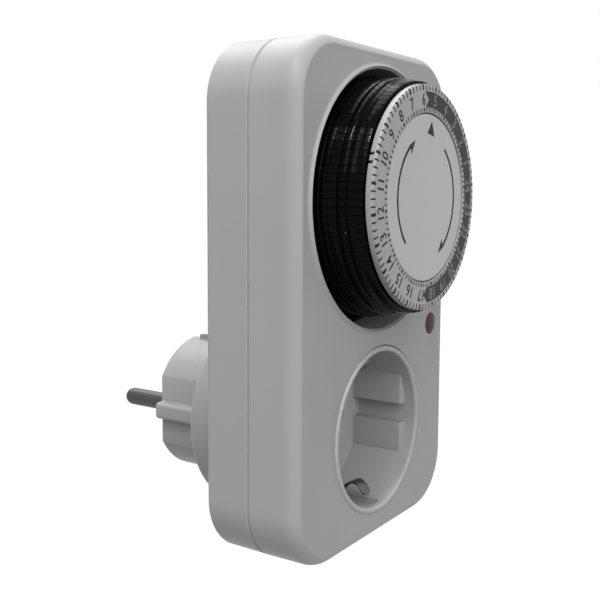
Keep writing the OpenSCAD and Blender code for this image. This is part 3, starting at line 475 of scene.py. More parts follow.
rear = Surface()
rearRows = shellSkin(case["backFace"], 1)
rear.grid(walls(rearRows))
foot, bossR, bossEdge = case["bossFoot"], case["bossRadius"], case["bossEdge"]
footTurn = np.radians(np.linspace(0, 90, 5))
edgeTurn = np.radians(np.linspace(0, 90, 9))
bossTop = case["shoulder"]
bossProfile = np.vstack([
    [[bossR + foot + case["support"], case["backFace"]]],
    np.column_stack([bossR + foot * (1 - np.sin(footTurn)),
                     case["backFace"] + foot * (1 - np.cos(footTurn))]),
    [[bossR, bossTop - bossEdge - case["support"]]],
    np.column_stack([bossR - bossEdge * (1 - np.cos(edgeTurn)),
                     bossTop - bossEdge * (1 - np.sin(edgeTurn))]),
    [[bossR - bossEdge - case["support"], bossTop]]])
rear.grid(lathe(bossProfile, steps=160))
plugOutline = plugLoop()
plugHole = inset(plugOutline, -plug["holeGap"])
bossInside = bossTop - case["bossWall"]
rear.flat(bossTop, circle(bossProfile[-1, 0], steps=160), plugHole)
rear.grid(walls([(plugHole, bossTop), (plugHole, bossInside)]))
rear.flat(bossInside, circle(case["bossInner"], steps=160), plugHole)
innerBack = case["backFace"] - case["wall"]
rear.grid(lathe([(case["bossInner"], bossInside), (case["bossInner"], innerBack)], steps=160))
wellFloor = case["backFace"] - case["screwWellDepth"]
wellLip = holeEdge(case["screwWell"], case["backFace"], -1, wellFloor)
for at in case["screwAt"]:
    rear.grid(lathe(np.vstack([wellLip, [(case["screwHole"], wellFloor),
                                         (case["screwHole"], case["seam"]),
                                         (case["screwTube"], case["seam"]),
                                         (case["screwTube"], innerBack)]]), at, 48))
rear.flat(case["backFace"], rearRows[-1][0], circle(bossProfile[0, 0], steps=160),
          *[circle(wellLip[0, 0], at, 48) for at in case["screwAt"]])
rear.flat(innerBack, innerLoop, circle(case["bossInner"], steps=160),
          *[circle(case["screwTube"], at, 48) for at in case["screwAt"]])
rear.grid(walls([rearRows[0], (innerLoop, case["seam"]), (innerLoop, innerBack)]))
rear.build("rearShell", "root", shellPlastic, ["rear_shell"])
print("case built")


# the plug: rows from its root to its rounded front edge, and the flat face
body = Surface()
c = plug["edge"]
plugTurn = np.radians(np.linspace(0, 90, 5))
plugRows = [(plugOutline, plug["root"]), (plugOutline, -c - plug["wallStrip"])]
plugRows += [(inset(plugOutline, d), y) for d, y in zip(
    c * (1 - np.cos(plugTurn)), -c * (1 - np.sin(plugTurn)))]
plugRows.append((inset(plugOutline, c + plug["faceStrip"]), 0.0))
body.grid(walls(plugRows))
body.flat(0.0, plugRows[-1][0]).flat(plug["root"], plugOutline)

# four low ridges beside the earth slots, each a loop in depth and height carried sideways
ridge = {"x": (2.75, 4.1), "foot": 17.2, "top": 19.25, "drop": 0.15, "from": -3.8, "to": -9.0,
         "corner": 0.3, "edge": 0.22}
ridgeLoop = roundLoop([(ridge["from"], ridge["foot"]), (ridge["from"], ridge["top"]),
                       (ridge["to"], ridge["top"] - ridge["drop"]),
                       (ridge["to"], ridge["foot"])], ridge["corner"], 5)
ridgeSmall = inset(ridgeLoop[::-1], ridge["edge"])[::-1]
ridgeRows = [(ridgeSmall, ridge["x"][0]), (ridgeLoop, ridge["x"][0] + ridge["edge"]),
             (ridgeLoop, ridge["x"][1] - ridge["edge"]), (ridgeSmall, ridge["x"][1])]
ridgeBlock = capped(np.array([np.column_stack([np.full(len(loop) + 1, x), closed(loop)])
                              for loop, x in ridgeRows]))
for sideX in (-1, 1):
    for sideZ in (-1, 1):
        body.grid(ridgeBlock * (sideX, 1, sideZ))
body.build("plugBody", "root", shellPlastic, ["plug_body"])

pins = {"radius": 2.4, "length": 19.0, "apart": 19.0, "domeLength": 2.5, "domePower": 0.85,
        "rootRadius": 2.0, "rootDepth": 2.0, "rows": (0.0, 0.4, 15.0)}
tipTurn = np.radians(np.linspace(0, 90, 12))
tip = np.column_stack([pins["radius"] * np.cos(tipTurn) ** pins["domePower"],
                       pins["length"] - pins["domeLength"] * (1 - np.sin(tipTurn))])
tip[-1, 0] = 0
pinProfile = np.vstack([
    [(0, -pins["rootDepth"]), (pins["rootRadius"], -pins["rootDepth"]), (pins["rootRadius"], 0.0)],
    [(pins["radius"], y) for y in pins["rows"]], tip])
pinPair = Surface()
for x in (-1, 1):
    pinPair.grid(lathe(pinProfile, (x * pins["apart"] / 2, 0), 48))
pinPair.build("plugPins", "root", pinNickel, ["plug_pins"])

earth = {"width": 4.9, "thick": 0.6, "edge": 0.14, "root": -20.4, "tip": -3.0, "foot": 16.85,
         "bulge": 0.9, "narrowFrom": 0.94, "narrowOver": 0.06, "narrowBy": 0.35}
u = np.linspace(0, 1, 33)
earthPath = np.column_stack([earth["root"] + (earth["tip"] - earth["root"]) * u,
                             earth["foot"] + earth["bulge"] * np.sin(np.pi * u) ** 2])
pastStart = (u - earth["narrowFrom"]) / earth["narrowOver"]
earthEnds = np.where(u > earth["narrowFrom"], 1 - earth["narrowBy"] * pastStart ** 2, 1.0)
earthStrips = Surface()
strip = ribbonAlong(earthPath, earth["width"], earth["thick"], earth["edge"], earthEnds)
earthStrips.grid(strip).grid(strip * (1, 1, -1))
earthStrips.build("plugEarthStrips", "root", clipSteel, ["plug_earth_contacts"])
print("plug built")


# the socket's cup, from its floor up the recess, over the rim and down the outside
socket = {
    "recess": 19.75, "outer": 21.0, "rim": 21.12, "rimTop": -59.45,
    "floor": -41.5, "floorBack": -39.5,
    "blockFace": 16.5, "blockNear": 2.6, "blockFar": 9.7, "blockEdge": 0.22, "blockBlend": 0.85,
    "blockFront": -56.0, "blockEnd": -56.06, "blockStrip": 0.3, "blockMiddle": -50.0,
    "slotHalf": 3.0, "slotFloor": 20.85, "slotFront": -57.7,
    "rimEdge": 0.6, "rimDepth": 0.75,
    "flange": 23.1, "flangeFront": -56.8, "flangeBack": -55.8,
}


def recessLoop(block, slot):
    # a quarter of the recess's section, mirrored twice; block and slot go from 0, a circle, to 1
    r, face = socket["recess"], socket["blockFace"]
    z0, z1, e = socket["blockNear"], socket["blockFar"], socket["blockEdge"]
    z2 = z1 + socket["blockBlend"]
    # heights along the block, how far each is pushed out to its face, and its rounded corners
    zs = np.array([0, z0 * 0.5, z0, z0, z0, z0 + e, (z0 + z1) / 2, z1 - e, z1, z2])
    onCircle = np.sqrt(r ** 2 - zs ** 2)
    pushed = np.array([0, 0, 0, 0.5, 1, 1, 1, 1, 1, 0])
    corner = np.array([0, 0, 0, 0, e, 0, 0, 0, 0.03, 0])
    x = onCircle + block * pushed * (face + corner - onCircle)
    first = np.column_stack([x, zs])
    a0 = np.degrees(np.arcsin(z2 / r))
    a1 = np.degrees(np.arccos(socket["slotHalf"] / r))
    arc = bend((0, 0), r, a0, a1, 20)[1:]
    sx = socket["slotHalf"] * np.array([1, 0.98, 0.5, 0])
    deep = np.array([0.5, 1, 1, 1]) * slot
    wall = np.sqrt(r ** 2 - sx ** 2)
    last = np.column_stack([sx, wall + deep * (socket["slotFloor"] - wall)])
    quarter = np.vstack([first, arc, last])
    half = np.vstack([quarter, (quarter[::-1] * (-1, 1))[1:]])
    return np.vstack([half, (half[::-1] * (1, -1))[1:-1]])


def alike(radius):
    # a circle with the recess's own spread of points, so that the two can be joined
    plain = recessLoop(0, 0)
    return plain * radius / np.linalg.norm(plain, axis=1)[:, None]


cup = Surface()
f, edge = socket["rimTop"], socket["rimEdge"]
withBlocks, withSlots, plain = recessLoop(1, 1), recessLoop(0, 1), recessLoop(0, 0)
cupRows = [(withBlocks, socket["floor"]), (withBlocks, socket["blockMiddle"]),
           (withBlocks, socket["blockFront"] + socket["blockStrip"]),
           (withBlocks, socket["blockFront"]),
           (withSlots, socket["blockEnd"]), (withSlots, socket["slotFront"]),
           (plain, socket["slotFront"]), (plain, f + socket["rimDepth"])]
lipTurn = np.radians(np.linspace(0, 90, 6))
cupRows += [(alike(r), y) for r, y in zip(socket["recess"] + edge * (1 - np.cos(lipTurn)),
                                          f + edge * (1 - np.sin(lipTurn)))]
outerTurn = np.radians(np.linspace(90, 0, 6))
cupRows += [(alike(r), y) for r, y in zip(socket["rim"] - edge * (1 - np.cos(outerTurn)),
                                          f + edge * (1 - np.sin(outerTurn)))]
cupRows += [(alike(socket[radius]), socket[depth]) for radius, depth in (
    ("rim", "flangeFront"), ("flange", "flangeFront"), ("flange", "flangeBack"),
    ("outer", "flangeBack"), ("outer", "floor"))]
cupRows.append((withBlocks, socket["floor"]))
cup.grid(walls(cupRows))
cup.build("socketCup", "root", cupPaintedLightPlastic, ["socket_cup"])

disc = {"radius": 21.2, "hole": 2.75, "holeEdge": 0.35, "apart": 19.0,
        "slotHalf": 3, "slot": (17.05, 20.8), "slotCorner": 0.3}
floor = Surface()
holeAt = [(-disc["apart"] / 2, 0), (disc["apart"] / 2, 0)]
w, (low, high) = disc["slotHalf"], disc["slot"]
slots = [roundLoop([(-w, low), (w, low), (w, high), (-w, high)], disc["slotCorner"], 4) * (1, side)
         for side in (1, -1)]
holeLip = holeEdge(disc["hole"], socket["floor"], 1, socket["floorBack"], disc["holeEdge"])
for at in holeAt:
    floor.grid(lathe(holeLip, at, 48))
rimLoop = circle(disc["radius"])
for depth, radius in ((socket["floor"], holeLip[0, 0]), (socket["floorBack"], disc["hole"])):
    floor.flat(depth, rimLoop, *[circle(radius, at, 48) for at in holeAt], *slots)
for loop in [rimLoop] + slots:
    floor.grid(walls([(loop, socket["floor"]), (loop, socket["floorBack"])]))
floor.build("socketFloor", "root", cupPaintedLightPlastic, ["socket_floor"])

# the earth strip: a sprung arm at each end, a rounded heel, and the straight back between them
clip = {"width": 3.6, "thick": 0.55, "edge": 0.15, "wall": 18.8, "crest": 14.4, "tip": 3.3,
        "foot": 11.6, "start": 0.045, "bow": 0.76, "armEnd": -42.5, "heel": 1.2,
        "back": -39.05, "backRow": 9.0, "round": 1.3, "leastWidth": 0.12}
u = np.linspace(0, 1, 49)
armY = case["frontFace"] + clip["tip"] + (clip["foot"] - clip["tip"]) * u
armZ = clip["wall"] - (clip["wall"] - clip["crest"] - clip["thick"] / 2) * np.sin(
    np.pi * (clip["start"] + (1 - clip["start"]) * u) ** clip["bow"])
heel = bend((clip["back"] - clip["heel"], clip["wall"] - clip["heel"]), clip["heel"], 90, 0, 8)
clipPath = np.vstack([np.column_stack([armY, armZ]), [[clip["armEnd"], clip["wall"]]], heel,
                      [[clip["back"], clip["backRow"]]]])
clipPath = np.vstack([clipPath, [[clip["back"], 0.0]], (clipPath * (1, -1))[::-1]])
walked = np.concatenate([[0], np.cumsum(np.linalg.norm(np.diff(clipPath, axis=0), axis=1))])
fromEnd = np.minimum(walked, walked[::-1]) / clip["round"]
clipEnds = np.sqrt(np.clip(1 - (1 - np.minimum(fromEnd, 1)) ** 2, clip["leastWidth"], 1))
clipSurface = Surface()
clipSurface.grid(ribbonAlong(clipPath, clip["width"], clip["thick"], clip["edge"], clipEnds))
clipSurface.build("socketEarthClip", "root", clipSteel, ["socket_earth_clip"])

lens = {
    # radius, and height above the case's face, from the middle of the dome to its edge
    "dome": [(0, 0.35), (1.0, 0.33), (1.7, 0.26), (2.25, 0.14), (2.6, -0.02), (2.76, -0.2),
             (2.8, -0.4)],
    # radius and depth, from the dome's edge over the flange, down the tube and back up its bore
    "body": [(2.8, -56.8), (3.7, -56.8), (3.7, -56.0), (3.2, -56.0), (3.2, -51.3), (2.8, -51.3),
             (2.8, -56.2), (0, -56.2)],
    "colour": (0.079, 0.046, 0.038), "roughness": 0.4, "shine": 0.06,
    "mottle": 1.2, "grain": 0.5, "relief": 0.01,
}
lensPaint = Paint("lensRed", lens["colour"], lens["roughness"], Specular_IOR_Level=lens["shine"])
lensPaint.tone(lensPaint.noise(lens["mottle"], 2), 0.75, 1.25)
lensPaint.bump(lensPaint.noise(lens["grain"], 2), lens["relief"])
lensProfile = [(radius, case["frontFace"] - height) for radius, height in lens["dome"]]
lensProfile += lens["body"]
lensSurface = Surface()
lensSurface.grid(lathe(lensProfile, case["lensAt"], 48))
lensSurface.build("indicatorLens", "root", lensPaint.material, ["indicator_lens"])
print("socket built")


# the liner of the dial's opening, its pale grey partly painted light, and a ledge at its foot that
# closes the gap round the pegs, black as painted shade
liner = {
    "lipAt": (31.95, -59.2), "lipEdge": 0.1,
    # radius and depth, from the lip over the flange to the foot and back along the inside
    "profile": [(32.05, -56.9), (32.15, -56.8), (34.25, -56.8), (34.25, -55.8), (32.15, -55.8),
                (32.15, -49.4), (31.1, -49.4), (31.2, -51.5), (31.85, -59.1), (31.85, -59.2)],
    "ledge": [(30.25, -49.4), (31.05, -49.4), (31.12, -50.4), (30.25, -50.4), (30.25, -49.4)],
}
linerProfile = np.vstack([bend(liner["lipAt"], liner["lipEdge"], 180, 360, 5), liner["profile"]])
linerSurface = Surface()
linerSurface.grid(lathe(linerProfile, case["openingAt"], 192))
linerSurface.build("dialBezel", "root", bezelPaintedLightPlastic, ["dial_bezel"])
# the ledge takes the pegs' black: painted shade, which hides the light its front face would catch
# at the foot of the opening
ledge = Surface()
ledge.grid(lathe(liner["ledge"], case["openingAt"], 192))
ledge.build("bezelLedgePaintedShade", "root", tabPlastic)

dial = {"hour": 15, "quarter": 3.75, "midnight": 82.5}    # degrees, clockwise from the top

pegs = {
    "top": -69.35, "gap": 0.18,
    # depth behind the top and radius, from the top down to the foot and back along the inside
    "steps": [(0, 27.6), (2.0, 27.85), (2.8, 28.2), (3.5, 28.2), (3.6, 27.95), (3.9, 27.95),
              (4.0, 28.3), (5.1, 28.72), (5.2, 27.95), (6.0, 27.95), (6.1, 28.55), (8.6, 28.75),
              (9.7, 29.15), (9.8, 28.75), (10.1, 28.75), (10.2, 29.05), (11.2, 29.38),
              (11.6, 29.4), (17.35, 29.5), (17.35, 26.35), (0, 26.35)],
    "edge": 0.06, "corner": 0.05,
    "wornCorner": 0.14, "worn": [0, 3, 6, 7, 10, 12, 15, 16],    # the steps that stand out
    "footCorners": (0.2, 0.2, 0.15),
    "shiftSpread": 0.018, "leanSpread": 0.012, "seed": 7,
}
pegCorners = np.full(len(pegs["steps"]), pegs["corner"])
pegCorners[pegs["worn"]] = pegs["wornCorner"]
pegCorners[-3:] = pegs["footCorners"]
pegProfile = roundLoop(pegs["steps"], pegCorners, 3)


def signedArea(loop):
    # half the sum of the cross products of neighbouring points
    after = np.roll(loop, -1, 0)
    return (loop[:, 0] * after[:, 1] - loop[:, 1] * after[:, 0]).sum() / 2


if signedArea(pegProfile) < 0:
    pegProfile = pegProfile[::-1]
pegInside = inset(pegProfile, pegs["edge"])
capPoints, capFaces = fillLoops(pegInside)


def onePeg(angle, depthShift, lean):
    # the profile at four widths of its wedge, turned to its place around the dial
    slope = np.tan(np.radians((dial["quarter"] - pegs["gap"]) / 2))
    rings = [(closed(loop), side, pull) for loop, side, pull in (
        (pegInside, -1, 0), (pegProfile, -1, pegs["edge"]),
        (pegProfile, 1, pegs["edge"]), (pegInside, 1, 0))]
    rows = np.array([np.column_stack([side * (ring[:, 1] * slope - pull), ring])
                     for ring, side, pull in rings])
    caps = [np.column_stack([side * capPoints[:, 1] * slope, capPoints]) for side in (-1, 1)]

    def place(p):
        a = np.radians(angle)
        across, out = p[..., 0], p[..., 2] + lean * p[..., 0]
        return np.stack([dialCentre[0] + out * np.sin(a) + across * np.cos(a),
                         pegs["top"] + depthShift + p[..., 1],
                         dialCentre[1] + out * np.cos(a) - across * np.sin(a)], -1)
    return place(rows), [place(cap) for cap in caps]


seeded = np.random.default_rng(pegs["seed"])
for hour in range(1, 25):
    group = Surface()
    for i in range(4):
        shift, lean = (seeded.normal(0, pegs[key]) for key in ("shiftSpread", "leanSpread"))
        angle = dial["midnight"] - hour * dial["hour"] - (i + 0.5) * dial["quarter"]
        rows, caps = onePeg(angle, abs(shift), lean)
        group.grid(rows)
        for cap in caps:
            group.keep(cap, capFaces)
    group.build(f"hourTabs{hour}", f"hour_{hour}_tabs", tabPlastic, [f"tabs_hour_{hour}"])
print("tabs built")

# the printed ring: a row of its section has a radius, a depth and its share of the two rim notches
ring = {
    "outer": 26.8, "inner": 20.15, "front": -71.4, "back": -69.55,
    "edge": 0.5, "innerEdge": 0.1, "innerStrip": 0.4, "edgeStrip": 0.3, "backEdge": 0.2,
    "notchAt": (158.4, 162.6), "notchHalf": 0.75, "notchDepth": 0.9,
    "notchTop": (0.7, 0.71), "notchSide": 0.05, "notchWithin": 0.02,
}
seat = {"outer": 26.2, "back": -68.5}
r0, r1, y0, y1, e = (ring[key] for key in ("inner", "outer", "front", "back", "edge"))
above, under = ring["notchTop"]
ringProfile = np.vstack([
    [(r0, y1, 0), (r0, y0 + ring["innerEdge"], 0), (r0 + ring["innerEdge"], y0, 0),
     (r0 + ring["innerStrip"], y0, 0), (r1 - e - ring["edgeStrip"], y0, 0)],
    np.insert(bend((r1 - e, y0 + e), e, 270, 360, 8), 2, 0, axis=1),
    [(r1, y0 + above, 0), (r1, y0 + under, 1), (r1, y1 - ring["backEdge"], 1),
     (r1 - ring["backEdge"], y1, 1), (r0, y1, 0)]])
notchEdges = np.add.outer(ring["notchAt"], (
    np.array([-1, 1, -1, 1]) * ring["notchHalf"]
    + np.array([0, 0, 1, -1]) * ring["notchSide"])).ravel()
ringTurn = np.sort(np.append(np.linspace(0, 360, 193), notchEdges))
fromNotch = np.abs(ringTurn[:, None] - ring["notchAt"])
inNotch = (fromNotch < ring["notchHalf"] - ring["notchWithin"]).any(1)
ringRadius = ringProfile[:, :1] - ringProfile[:, 2:] * ring["notchDepth"] * inNotch
ringTurn = np.radians(ringTurn)
ringSurface = Surface()
ringSurface.grid(np.stack([dialCentre[0] + ringRadius * np.cos(ringTurn),
                           np.broadcast_to(ringProfile[:, 1:2], ringRadius.shape),
                           dialCentre[1] + ringRadius * np.sin(ringTurn)], -1))
ringSurface.build("dialRing", "dial", ringPlastic, ["dial_ring"])
# a seat behind the ring, over the pegs' tops, in the pegs' black: painted shade where the ring's
# own grey plastic lies in shadow
paintedShadeSeat = Surface()
paintedShadeSeat.grid(lathe([(r0, y1), (seat["outer"], y1), (seat["outer"], seat["back"]),
                        (r0, seat["back"]), (r0, y1)], dialCentre, 144))
paintedShadeSeat.build("ringSeatPaintedShade", "dial", tabPlastic, crease=30)

plate = {"radius": 19.9, "front": -71.2, "back": -68.8,
         "edge": 0.25, "wallStrip": 0.5, "faceStrip": 0.6}
r, y, e = plate["radius"], plate["front"], plate["edge"]
plateProfile = np.vstack([
    [(0, plate["back"]), (r, plate["back"]), (r, y + plate["wallStrip"])],
    bend((r - e, y + e), e, 0, -90, 5), [(r - plate["faceStrip"], y), (0, y)]])
plateSurface = Surface()
plateSurface.grid(lathe(plateProfile, dialCentre, 160))
plateSurface.build("centrePlate", "root", platePlastic, ["centre_plate"])

# everything printed: it stands a little proud of the surface, and starts a little under it
marks = {
    "proud": 0.03, "sunk": 0.02, "firstTick": -7.5,
    "outerTick": 25.4, "outerTickWide": 0.36, "hourTickWide": 0.72,
    "innerTick": (20.4, 21.25), "innerTickWide": 0.38, "innerHourWide": 0.66,
    "numberRadius": 23.25, "numberSize": 3.85, "numberWeight": 0.05, "numberThick": 0.03,
    "numberNarrow": 0.92, "dayLift": 0.012, "nightLift": 0.04,
    "bandInner": 21.35, "bandOuter": 25.1,
    "nightFrom": -5.3, "nightTo": 179.0,     # degrees clockwise from the top
    "notchDepth": 4.4, "pointDepth": 5.0, "pointInwards": 0.1,
}


def aroundDial(angles, radii):
    # places on the dial from clockwise angles in degrees and radii
    a = np.radians(np.asarray(angles, float))
    r = np.asarray(radii, float)
    return np.stack([dialCentre[0] + r * np.sin(a), dialCentre[1] + r * np.cos(a)], -1)


def strokes(angles, stations, wide):
    # four-sided strokes; a station is a radius, a depth and the tilt of the printed surface there
    a = np.radians(angles)[:, None, None]
    radius, depth, tilt = np.asarray(stations, float).T[:, None, :, None]
    off = np.array([1, 1, 0, 0]) * (marks["proud"] + marks["sunk"]) - marks["sunk"]
    out = radius + off * np.sin(np.radians(tilt))
    across = np.array([-1, 1, 1, -1]) * wide[:, None, None] / 2
    y = ring["front"] + depth - off * np.cos(np.radians(tilt))
    x = dialCentre[0] + out * np.sin(a) + across * np.cos(a)
    z = dialCentre[1] + out * np.cos(a) - across * np.sin(a)
    points = np.stack([x, np.broadcast_to(y, x.shape), z], -1)
    count = len(stations)
    s, k = np.meshgrid(np.arange(count - 1), np.arange(4), indexing="ij")
    sides = np.stack([s * 4 + k, s * 4 + (k + 1) % 4, s * 4 + 4 + (k + 1) % 4, s * 4 + 4 + k], -1)
    faces = np.vstack([sides.reshape(-1, 4), [(3, 2, 1, 0)], [np.arange(4) + 4 * (count - 1)]])
    return points.reshape(-1, 3), ((np.arange(len(angles)) * 4 * count)[:, None, None]
                                   + faces).reshape(-1, 4)


tickAngles = marks["firstTick"] + np.arange(96) * dial["quarter"]
onHour = np.arange(96) % 4 == 0
edgeTilt = np.array([20, 40, 60, 75])
r, e = ring["outer"] - ring["edge"], ring["edge"]
overEdge = np.column_stack([r + e * np.sin(np.radians(edgeTilt)),
                            e - e * np.cos(np.radians(edgeTilt)), edgeTilt])
ticks = Surface()
ticks.keep(*strokes(tickAngles, np.vstack([[(marks["outerTick"], 0, 0), (r, 0, 0)], overEdge]),
                    np.where(onHour, marks["hourTickWide"], marks["outerTickWide"])))
ticks.keep(*strokes(tickAngles, [(inner, 0, 0) for inner in marks["innerTick"]],
                    np.where(onHour, marks["innerHourWide"], marks["innerTickWide"])))
ticks.build("dialTicks", "dial", printInk, crease=20)

nightAngles = np.linspace(marks["nightFrom"], marks["nightTo"], 110)
outerArc = aroundDial(nightAngles, marks["bandOuter"])
innerArc = aroundDial(nightAngles, marks["bandInner"])
middleRadius = (marks["bandOuter"] + marks["bandInner"]) / 2 - marks["pointInwards"]
notch = aroundDial(marks["nightFrom"] + marks["notchDepth"], middleRadius)
point = aroundDial(marks["nightTo"] + marks["pointDepth"], middleRadius)
nightLoop = np.vstack([outerArc, [point], innerArc[::-1], [notch]])[::-1]
night = Surface()
night.slab(ring["front"] - marks["proud"], ring["front"] + marks["sunk"], nightLoop)
night.build("nightBand", "dial", nightInk, crease=20)


def numberMesh(text, size, thick):
    # the outline of a plain number, as points and faces around its own middle
    curve = bpy.data.curves.new("number", "FONT")
    curve.body, curve.size, curve.extrude = text, size, thick / 2
    curve.offset = marks["numberWeight"]
    curve.align_x, curve.align_y = "CENTER", "CENTER"
    curve.resolution_u = 3
    made = bpy.data.objects.new("number", curve)
    bpy.context.collection.objects.link(made)
    shown = made.evaluated_get(bpy.context.evaluated_depsgraph_get())
    mesh = bpy.data.meshes.new_from_object(shown)
    points = np.empty(len(mesh.vertices) * 3)
    mesh.vertices.foreach_get("co", points)
    points = points.reshape(-1, 3)
    faces = [tuple(polygon.vertices) for polygon in mesh.polygons]
    bpy.data.objects.remove(made)
    bpy.data.curves.remove(curve)
    bpy.data.meshes.remove(mesh)
    middle = (points.max(0) + points.min(0)) / 2
    return points - middle, faces


def printNumbers(name, hours, lift, material):
    # each number stands with its top outwards, at its hour's angle
    made = Surface()
    for hour in hours:
        points, faces = numberMesh(str(hour), marks["numberSize"], marks["numberThick"])
        a = np.radians(dial["midnight"] - hour * dial["hour"])
        x = points[:, 0] * marks["numberNarrow"]
        out = marks["numberRadius"] + points[:, 1]
        placed = np.column_stack([dialCentre[0] + out * np.sin(a) + x * np.cos(a),
                                  ring["front"] - lift - points[:, 2],
                                  dialCentre[1] + out * np.cos(a) - x * np.sin(a)])
        made.faces += [[i + made.count for i in face] for face in faces]
        made.points.append(placed)
        made.count += len(placed)
    made.build(name, "dial", material, crease=20, weld=0.0005)


printNumbers("dayNumbers", range(6, 18), marks["dayLift"], printInk)
printNumbers("nightNumbers", [*range(18, 25), *range(1, 6)], marks["nightLift"], nightDigitInk)

# two arrows on the centre plate, between two angles, and the time pointer's three corners
arrows = {"radius": 14.9, "width": 0.72, "left": (-133.5, -26.0), "right": (38.0, 154.0),
          "headLength": 14.0, "neck": 0.8, "barbStart": 1.05, "barb": 1.75, "barbOut": 0.7,
          "tipOut": 0.1, "pointer": [(1.9, 18.3), (-0.35, 15.35), (3.25, 14.65)]}


def arrowLoop(start, end):
    # a curved line that ends in a point, with a barb on its inner side
    r, w, head = arrows["radius"], arrows["width"] / 2, arrows["headLength"]
    a = np.linspace(start, end - head * arrows["neck"], 40)
    outer, inner = aroundDial(a, r + w), aroundDial(a, r - w)
    barbOut = aroundDial(end - head * arrows["barbStart"], r + arrows["barbOut"])
    barbIn = aroundDial(end - head, r - arrows["barb"])
    tipPoint = aroundDial(end, r + arrows["tipOut"])
    return np.vstack([outer, [barbOut], [tipPoint], [barbIn], inner[::-1]])[::-1]


plateMarks = Surface()
pointer = np.array(arrows["pointer"]) + dialCentre
for loop in (arrowLoop(*arrows["left"]), arrowLoop(*arrows["right"]), pointer):
    plateMarks.slab(plate["front"] - marks["proud"], plate["front"] + marks["sunk"], loop)
plateMarks.build("plateMarks", "root", printInk, crease=20)
print("dial built")


# finishes of the pieces that are kept from the frame, by their material slot
keptFinishes = {
    "frame": mouldedPlastic("frameThermoset", (0.58, 0.54, 0.42), 0.5, grain=0.4, relief=0.02),
    "gear": mouldedPlastic("gearAcetal", (0.72, 0.72, 0.69), 0.38, grain=0.5, relief=0.006),
    "lever": mouldedPlastic("leverPlastic", (0.60, 0.20, 0.03), 0.42, grain=0.3, relief=0.01),
    "tabs": tabPlastic,
    "resistor": mouldedPlastic("resistorLacquer", (0.45, 0.30, 0.16), 0.35, grain=0.6),
    "wire": mouldedPlastic("wireInsulation", (0.12, 0.045, 0.02), 0.5, grain=0.5, drift=0.12),
    "rotor": mouldedPlastic("rotorFerrite", (0.03, 0.03, 0.033), 0.55, grain=0.2, relief=0.02),
    "contact": drawnMetal("contactBrass", (0.62, 0.42, 0.17), 0.30),
    "spring": drawnMetal("springSteel", (0.42, 0.43, 0.45), 0.28),
    "screw": drawnMetal("screwZinc", (0.46, 0.46, 0.47), 0.33),
    "motor": drawnMetal("motorSheet", (0.44, 0.45, 0.46), 0.36, size=1.0),
    "coil": drawnMetal("coilCopper", (0.50, 0.17, 0.06), 0.35, along=(1, 6, 1), size=0.3),
}
glass = Paint("lampGlass", (0.80, 0.62, 0.52), 0.08, Transmission_Weight=0.6, Coat_Weight=0.3)
glass.tone(glass.noise(2.0, 2), 0.85, 1.1)
keptFinishes["lamp"] = glass.material
slotOf = {part["node"]: part["material_slot"] for part in frame["record"]["subparts"]}
for name, node in frame["nodes"].items():
    finish = keptFinishes.get(slotOf[name])
    if finish is None:
        continue
    if not node.material_slots:
        node.data.materials.append(finish)
    for each in node.material_slots:
        each.link = "OBJECT"
        each.material = finish
print("kept pieces finished")


# the stage: floor, backdrop, lamps and camera, in metres
stage = {"floorDrop": 0.30, "floorSize": 12.0, "floorColour": (0.25, 0.25, 0.25),
         "floorRoughness": 0.9, "white": 0.9, "glow": 1.12, "ambient": 0.48}


def whiteToCamera(paint, shadeShare):
    # plain white for camera, mirror and glass rays, and the diffuse floor for the rest
    glow = paint.node("ShaderNodeEmission", {}, {
        "Color": (1, 1, 1, 1), "Strength": stage["glow"]})
    share = paint.node("ShaderNodeMath", {"operation": "MINIMUM"}, {
        0: paint.seenRays(), 1: shadeShare})
    mixed = paint.node("ShaderNodeMixShader", {}, {
        0: share, 1: Value(paint, paint.shader.outputs[0]), 2: glow})
    paint.feed(paint.tree.nodes["Material Output"].inputs["Surface"], mixed)


floorPaint = Paint("floorPale", stage["floorColour"], stage["floorRoughness"])
whiteToCamera(floorPaint, stage["white"])
half = stage["floorSize"] / 2
ground = case["bottom"] * mm - stage["floorDrop"]
floorMesh = bpy.data.meshes.new("floor")
floorMesh.from_pydata([(-half, -half, ground), (half, -half, ground), (half, half, ground),
                       (-half, half, ground)], [], [(0, 1, 2, 3)])
floorMesh.materials.append(floorPaint.material)
floorPiece = bpy.data.objects.new("floor", floorMesh)
bpy.context.collection.objects.link(floorPiece)

# the backdrop is white where it is seen, and lights the object at the ambient level
world = bpy.data.worlds.new("studio")
bpy.context.scene.world = world
world.use_nodes = True
sky = Nodes(world.node_tree)
backdrop = sky.tree.nodes["Background"]
level = sky.node("ShaderNodeMapRange", {}, {
    "Value": sky.seenRays(), "To Min": stage["ambient"], "To Max": 1.0})
sky.feed(backdrop.inputs["Color"], (1, 1, 1, 1))
sky.feed(backdrop.inputs["Strength"], level)

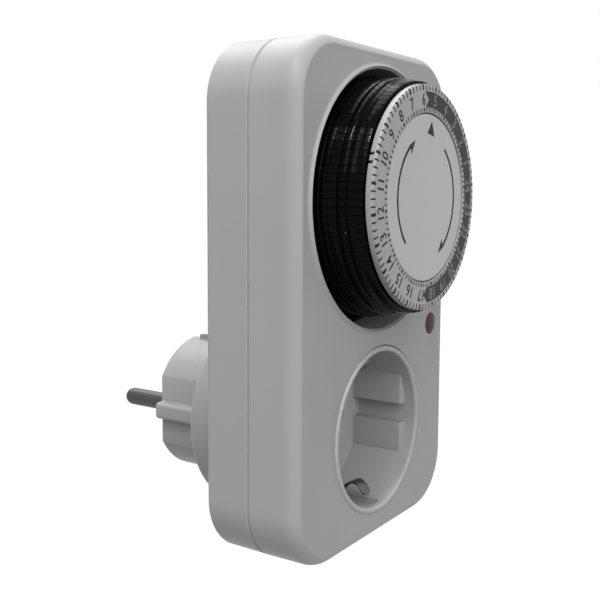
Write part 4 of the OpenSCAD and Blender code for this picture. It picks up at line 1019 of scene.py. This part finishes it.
lamps = {
    "key": {"place": (-0.84, -0.505, 1.06), "size": 1.1, "power": 13.2},
    "side": {"place": (-0.60, -1.29, 0.5), "size": 0.55, "tall": 1.0, "power": 9.1},
    "spark": {"place": (-0.74, -0.11, 1.24), "size": 0.1, "power": 7.5},
    "back": {"place": (0.375, 0.585, 1.34), "size": 1.3, "power": 20.0},
}


def areaLamp(name, place, size, power, tall=None, aim=(0, -0.045, 0.034)):
    # a soft lamp that faces aim, square unless its height is given
    data = bpy.data.lights.new(name, "AREA")
    data.shape = "RECTANGLE"
    data.energy, data.size, data.size_y = power, size, tall or size
    lamp = bpy.data.objects.new(name, data)
    bpy.context.collection.objects.link(lamp)
    lamp.location = place
    away = np.array(place, float) - aim
    away /= np.linalg.norm(away)
    across = np.cross((0, 0, 1), away)
    across /= np.linalg.norm(across)
    lamp.rotation_euler = Matrix(np.column_stack(
        [across, np.cross(away, across), away]).tolist()).to_euler()


for lampName, values in lamps.items():
    areaLamp(lampName + "Lamp", **values)

view = {"place": (-0.194947, -0.166577, 0.060845), "lens": 53.851, "sensor": 36.0,
        "rise": -0.0498, "near": 0.01, "far": 50,
        "turn": 55.918, "down": 5.329, "roll": -0.281}    # degrees
turn, down, roll = np.radians([view["turn"], view["down"], view["roll"]])
ahead = np.array([np.sin(turn) * np.cos(down), np.cos(turn) * np.cos(down), -np.sin(down)])
levelRight = np.array([np.cos(turn), -np.sin(turn), 0.0])
levelDown = np.cross(ahead, levelRight)
right = np.cos(roll) * levelRight + np.sin(roll) * levelDown
below = -np.sin(roll) * levelRight + np.cos(roll) * levelDown
cameraData = bpy.data.cameras.new("camera")
cameraData.lens, cameraData.sensor_width = view["lens"], view["sensor"]
cameraData.shift_y = view["rise"]
cameraData.clip_start, cameraData.clip_end = view["near"], view["far"]
camera = bpy.data.objects.new("camera", cameraData)
bpy.context.collection.objects.link(camera)
camera.matrix_world = Matrix(np.vstack([
    np.column_stack([right, -below, -ahead, view["place"]]), [0, 0, 0, 1]]).tolist())
bpy.context.scene.camera = camera
bpy.context.scene.view_settings.view_transform = "Standard"
print("stage ready")

bpy.context.view_layer.update()
